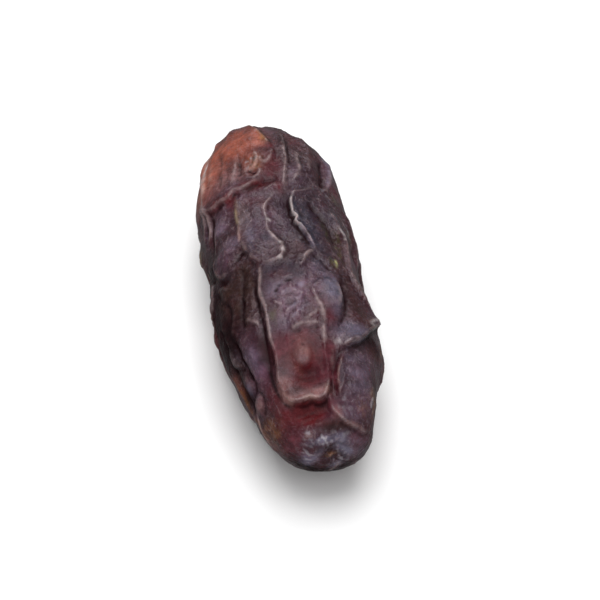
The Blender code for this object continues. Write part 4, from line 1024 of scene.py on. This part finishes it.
def standing_out(grid, normals, reach):
    """How far each point of the grid stands out of the skin `reach` cells away, in millimetres."""
    rows = np.arange(grid.shape[0])
    ahead = grid[np.clip(rows + reach, 0, rows[-1])]
    behind = grid[np.clip(rows - reach, 0, rows[-1])]
    aside = np.roll(grid, reach, axis=1) + np.roll(grid, -reach, axis=1)
    apart = grid - (ahead + behind + aside) / 4.0
    return np.einsum("ijk,ijk->ij", apart, normals)


def fine_wrinkles(points):
    """Wrinkles too small for the solid: fine creases that run mostly along the date."""
    squeezed = points * np.array([1.0, 0.5, 1.0])
    warp = np.stack([noise_at(points, 3.0, shift) for shift in (1.7, 9.2, 30.4)], axis=1)

    def creases(kind, bend, shift):
        height, size = kind
        near = np.abs(noise_at(squeezed + bend * warp, size, shift))
        return height * np.clip(1.0 - 2.2 * near, -0.5, 1.0) ** 2

    lumps = CRUMPLE[0] * noise_at(points + 0.6 * warp, CRUMPLE[1], 77.0)
    lumps += GRAIN[0] * noise_at(points, GRAIN[1], 43.0)
    where = np.clip(0.55 + 0.9 * noise_at(points, 6.0, 51.0), 0.15, 1.0)
    more = 1.0 + 1.5 * patches_at(CRUMPLED, points) - 0.8 * patches_at(SMOOTH, points)
    return more * (lumps + where * (creases(CREASES, 0.6, 3.3) + creases(SMALL_CREASES, 0.4, 12.1)))


def fine_skin(centre):
    """The date's finer mesh, with its colour, shine, crests and hollows kept on its points."""
    s, a, form, normals = form_grid(FINE_ROWS, FINE_COLUMNS)
    points = form.reshape(-1, 3)
    grid = date_points(FINE_ROWS, FINE_COLUMNS, FINE_FINEST)
    lying = grid[..., 2] < 0.05
    fine = np.where(lying, 0.0, fine_wrinkles(points).reshape(s.shape))
    grid = grid + normals * fine[..., None]
    grid[..., 2] = np.maximum(grid[..., 2], 0.0)
    colour, shine = tint_points(s.ravel(), a.ravel(), points, normals.reshape(-1, 3))
    mesh = skin_mesh("date_skin", grid - centre)

    def keep(name, values, kind, field, width):
        values = values.reshape(s.shape + (width,))
        kept = np.concatenate([values[0, :1], values[1:-1].reshape(-1, width), values[-1, :1]])
        mesh.attributes.new(name, kind, "POINT").data.foreach_set(field, kept.astype(np.float32).ravel())

    keep("tint", np.concatenate([colour, np.ones((len(colour), 1))], axis=1), "FLOAT_COLOR", "color", 4)
    keep("shine", shine, "FLOAT", "value", 1)
    keep("crest", standing_out(grid, normals, CREST_CELLS), "FLOAT", "value", 1)
    keep("rise", standing_out(grid, normals, RISE_CELLS), "FLOAT", "value", 1)
    return bpy.data.objects.new("date_skin", mesh)


def add(tree, kind, inputs=None, **settings):
    """A shader node with these settings. An input is a value, or the socket that feeds it."""
    made = tree.nodes.new(kind)
    for name, value in settings.items():
        setattr(made, name, value)
    for name, value in (inputs or {}).items():
        if isinstance(value, bpy.types.NodeSocket):
            tree.links.new(value, made.inputs[name])
        else:
            made.inputs[name].default_value = value
    return made


def spread(tree, value, low, high, to_low=0.0, to_high=1.0):
    """The value, moved from the range low to high onto another, and kept inside it."""
    inputs = {"Value": value, "From Min": low, "From Max": high, "To Min": to_low, "To Max": to_high}
    return add(tree, "ShaderNodeMapRange", inputs, clamp=True).outputs["Result"]


def times(tree, first, second):
    return add(tree, "ShaderNodeMath", {0: first, 1: second}, operation="MULTIPLY").outputs[0]


def plus(tree, first, second):
    return add(tree, "ShaderNodeMath", {0: first, 1: second}, operation="ADD").outputs[0]


def blend(tree, amount, first, second, kind="MIX"):
    """A colour between two others, or their product."""
    made = add(tree, "ShaderNodeMix", data_type="RGBA", clamp_factor=True, blend_type=kind)
    for socket, value in ((made.inputs[0], amount), (made.inputs[6], first), (made.inputs[7], second)):
        if isinstance(value, bpy.types.NodeSocket):
            tree.links.new(value, socket)
        else:
            socket.default_value = value
    return made.outputs[2]


def cover(tree, colour, amount, tint):
    """The colour with a tint laid over it."""
    return blend(tree, amount, colour, TINTS[tint] + (1.0,))


def speckle(tree, place, size, detail=3.0, roughness=0.55, distortion=0.0):
    """Noise with lumps about `size` across, in millimetres."""
    inputs = {"Vector": place, "Scale": 1.0 / (size * MM), "Detail": detail, "Roughness": roughness}
    inputs["Distortion"] = distortion
    return add(tree, "ShaderNodeTexNoise", inputs).outputs["Fac"]


def relief(tree, height, strength, depth, below=None):
    """The skin's normals with a small relief, `depth` millimetres deep, on those below it."""
    inputs = {"Height": height, "Strength": strength, "Distance": depth * MM}
    if below:
        inputs["Normal"] = below
    return add(tree, "ShaderNodeBump", inputs).outputs["Normal"]


# The rest of the skin's surface
SKIN_SETTINGS = {
    "Metallic": 0.0,
    "IOR": 1.46,
    "Specular Tint": (1.0, 0.88, 0.97, 1.0),
    "Subsurface Weight": 0.1,
    "Subsurface Radius": (1.0, 0.3, 0.2),
    "Subsurface Scale": 0.8 * MM,
    "Coat Roughness": 0.13,
}


def skin_look():
    """Dark, waxy, finely mottled skin, crests painted pale as wear and highlight, painted shade in grooves
    and hollows.
    """
    material = bpy.data.materials.new("date_skin_look")
    material.use_nodes = True
    tree = material.node_tree
    shader = tree.nodes["Principled BSDF"]
    place = add(tree, "ShaderNodeTexCoord").outputs["Object"]
    colour = add(tree, "ShaderNodeAttribute", attribute_name="tint").outputs["Color"]
    shiny, crest, rise = (
        add(tree, "ShaderNodeAttribute", attribute_name=name).outputs["Fac"]
        for name in ("shine", "crest", "rise")
    )

    # the wax on the skin: mottled, dusty and crossed by hairlines
    mottle = speckle(tree, place, 0.9, 4.0, 0.65)
    dust = speckle(tree, place, 0.45, 3.0, 0.6)
    colour = blend(tree, 1.0, colour, spread(tree, mottle, 0.3, 0.7, 0.63, 1.2), "MULTIPLY")
    dust = times(tree, spread(tree, dust, 0.52, 0.75, 0.0, 0.4), shiny)
    colour = cover(tree, colour, dust, "bloom")
    drawn_out = add(tree, "ShaderNodeVectorMath", {0: place, 1: (1.0, 0.45, 1.0)}, operation="MULTIPLY")
    web = plus(tree, speckle(tree, drawn_out.outputs[0], 1.5, 2.0, 0.5, 0.8), -0.5)
    web = add(tree, "ShaderNodeMath", {0: web}, operation="ABSOLUTE").outputs[0]
    hairline = times(tree, spread(tree, web, 0.03, 0.0), spread(tree, mottle, 0.42, 0.58))
    colour = cover(tree, colour, times(tree, times(tree, hairline, 0.32), shiny), "pale")

    # crests painted pale as wear and as highlight, and painted shade in the grooves and hollows
    crest_wear_and_highlight = spread(tree, crest, 0.05, 0.17)
    crest_wear_and_highlight = times(tree, crest_wear_and_highlight, spread(tree, mottle, 0.35, 0.55, 0.3, 1.0))
    crest_wear_and_highlight = times(tree, crest_wear_and_highlight, spread(tree, shiny, 0.0, 0.7, 0.25, 1.0))
    colour = cover(tree, colour, times(tree, crest_wear_and_highlight, 0.4), "crest_wear_and_highlight")
    shaded_groove = spread(tree, crest, -0.04, -0.17)
    colour = cover(tree, colour, times(tree, shaded_groove, 0.8), "shaded_groove")
    shaded_hollow = spread(tree, rise, 0.0, -0.6)
    colour = cover(tree, colour, times(tree, shaded_hollow, 0.5), "shaded_hollow")
    tree.links.new(colour, shader.inputs["Base Color"])

    # satin skin, duller in the grooves and with a clear coat on the crests
    rough = plus(tree, spread(tree, mottle, 0.3, 0.7, 0.27, 0.42), times(tree, crest_wear_and_highlight, -0.04))
    tree.links.new(rough, shader.inputs["Roughness"])
    shine = times(tree, shiny, spread(tree, shaded_groove, 0.0, 1.0, 0.42, 0.1))
    tree.links.new(shine, shader.inputs["Specular IOR Level"])
    tree.links.new(spread(tree, crest_wear_and_highlight, 0.0, 1.0, 0.06, 0.5), shader.inputs["Coat Weight"])

    # creases, hairlines and grain too small for the mesh
    low = relief(tree, speckle(tree, place, 1.1, 2.0, 0.55, 0.6), 0.6, 0.4)
    thin = relief(tree, hairline, 0.7, 0.06, low)
    fine = relief(tree, speckle(tree, place, 0.4, 3.0, 0.6), 0.5, 0.15, thin)
    tree.links.new(fine, shader.inputs["Normal"])

    for socket, value in SKIN_SETTINGS.items():
        shader.inputs[socket].default_value = value
    return material


# The floor. Its lengths, and those of the lights and the camera, are in metres.
FLOOR_REACH = 2.0
FLOOR_PALENESS = 0.94


def floor_look():
    material = bpy.data.materials.new("floor_look")
    material.use_nodes = True
    shader = material.node_tree.nodes["Principled BSDF"]
    shader.inputs["Base Color"].default_value = (FLOOR_PALENESS, FLOOR_PALENESS, FLOOR_PALENESS, 1.0)
    shader.inputs["Roughness"].default_value = 0.75
    return material


def make_floor():
    mesh = bpy.data.meshes.new("floor")
    corners = [(x * FLOOR_REACH, y * FLOOR_REACH, 0.0) for x, y in ((-1, -1), (1, -1), (1, 1), (-1, 1))]
    mesh.from_pydata(corners, [], [(0, 1, 2, 3)])
    mesh.materials.append(floor_look())
    floor = bpy.data.objects.new("floor", mesh)
    bpy.context.scene.collection.objects.link(floor)
    floor.visible_glossy = False


# The soft lights: their places, widths, heights and watts
LIGHTS = {
    "overhead_softbox": ((0.0, 0.03, 0.6), 0.46, 0.4, 2.85),
    "back_softbox": ((0.06, 0.5, 0.5), 0.42, 0.3, 1.3),
    "front_softbox": ((-0.05, -0.4, 0.55), 0.7, 0.5, 1.85),
}
LIGHTS_AIM = (0.0, 0.0, 0.01)
EVEN_LIGHT = 0.2


def softbox(name, place, width, height, watts):
    light = bpy.data.lights.new(name, "AREA")
    light.shape = "RECTANGLE"
    light.size = width
    light.size_y = height
    light.energy = watts
    box = bpy.data.objects.new(name, light)
    box.location = place
    box.rotation_euler = (Vector(LIGHTS_AIM) - Vector(place)).to_track_quat("-Z", "Y").to_euler()
    bpy.context.scene.collection.objects.link(box)


def make_light():
    """Large soft lights above, behind and in front, and a weak even light from all round."""
    world = bpy.data.worlds.new("studio")
    world.use_nodes = True
    tree = world.node_tree
    background = tree.nodes["Background"]
    background.inputs["Color"].default_value = (1.0, 1.0, 1.0, 1.0)
    seen = add(tree, "ShaderNodeLightPath").outputs["Is Camera Ray"]
    tree.links.new(spread(tree, seen, 0.0, 1.0, EVEN_LIGHT, 1.0), background.inputs["Strength"])
    bpy.context.scene.world = world
    for name, settings in LIGHTS.items():
        softbox(name, *settings)


# The camera, as the photograph was taken
CAMERA_ELEVATION = 46.0
CAMERA_AZIMUTH = -10.0
CAMERA_DISTANCE = 0.2
CAMERA_AIM = (0.0012, -0.0036, 0.010)
CAMERA_LENS = 87.6  # on a sensor 36 wide


def make_camera(centre):
    up, side = math.radians(CAMERA_ELEVATION), math.radians(CAMERA_AZIMUTH)
    back = Vector((math.sin(side) * math.cos(up), -math.cos(side) * math.cos(up), math.sin(up)))
    data = bpy.data.cameras.new("camera")
    data.lens = CAMERA_LENS
    data.sensor_width = 36.0
    data.clip_start = 0.01
    data.clip_end = 10.0
    camera = bpy.data.objects.new("camera", data)
    camera.location = Vector(CAMERA_AIM) - Vector(centre * MM) + CAMERA_DISTANCE * back
    camera.rotation_euler = back.to_track_quat("Z", "Y").to_euler()
    bpy.context.scene.collection.objects.link(camera)
    bpy.context.scene.camera = camera


def main():
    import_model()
    centre = middle(date_points(ROWS, COLUMNS, FINEST))
    skin = fine_skin(centre)
    skin.data.materials.append(skin_look())
    bpy.context.scene.collection.objects.link(skin)
    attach(skin, "root")
    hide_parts("date")
    make_floor()
    make_light()
    make_camera(centre)
    bpy.context.scene.view_settings.view_transform = "Standard"


main()
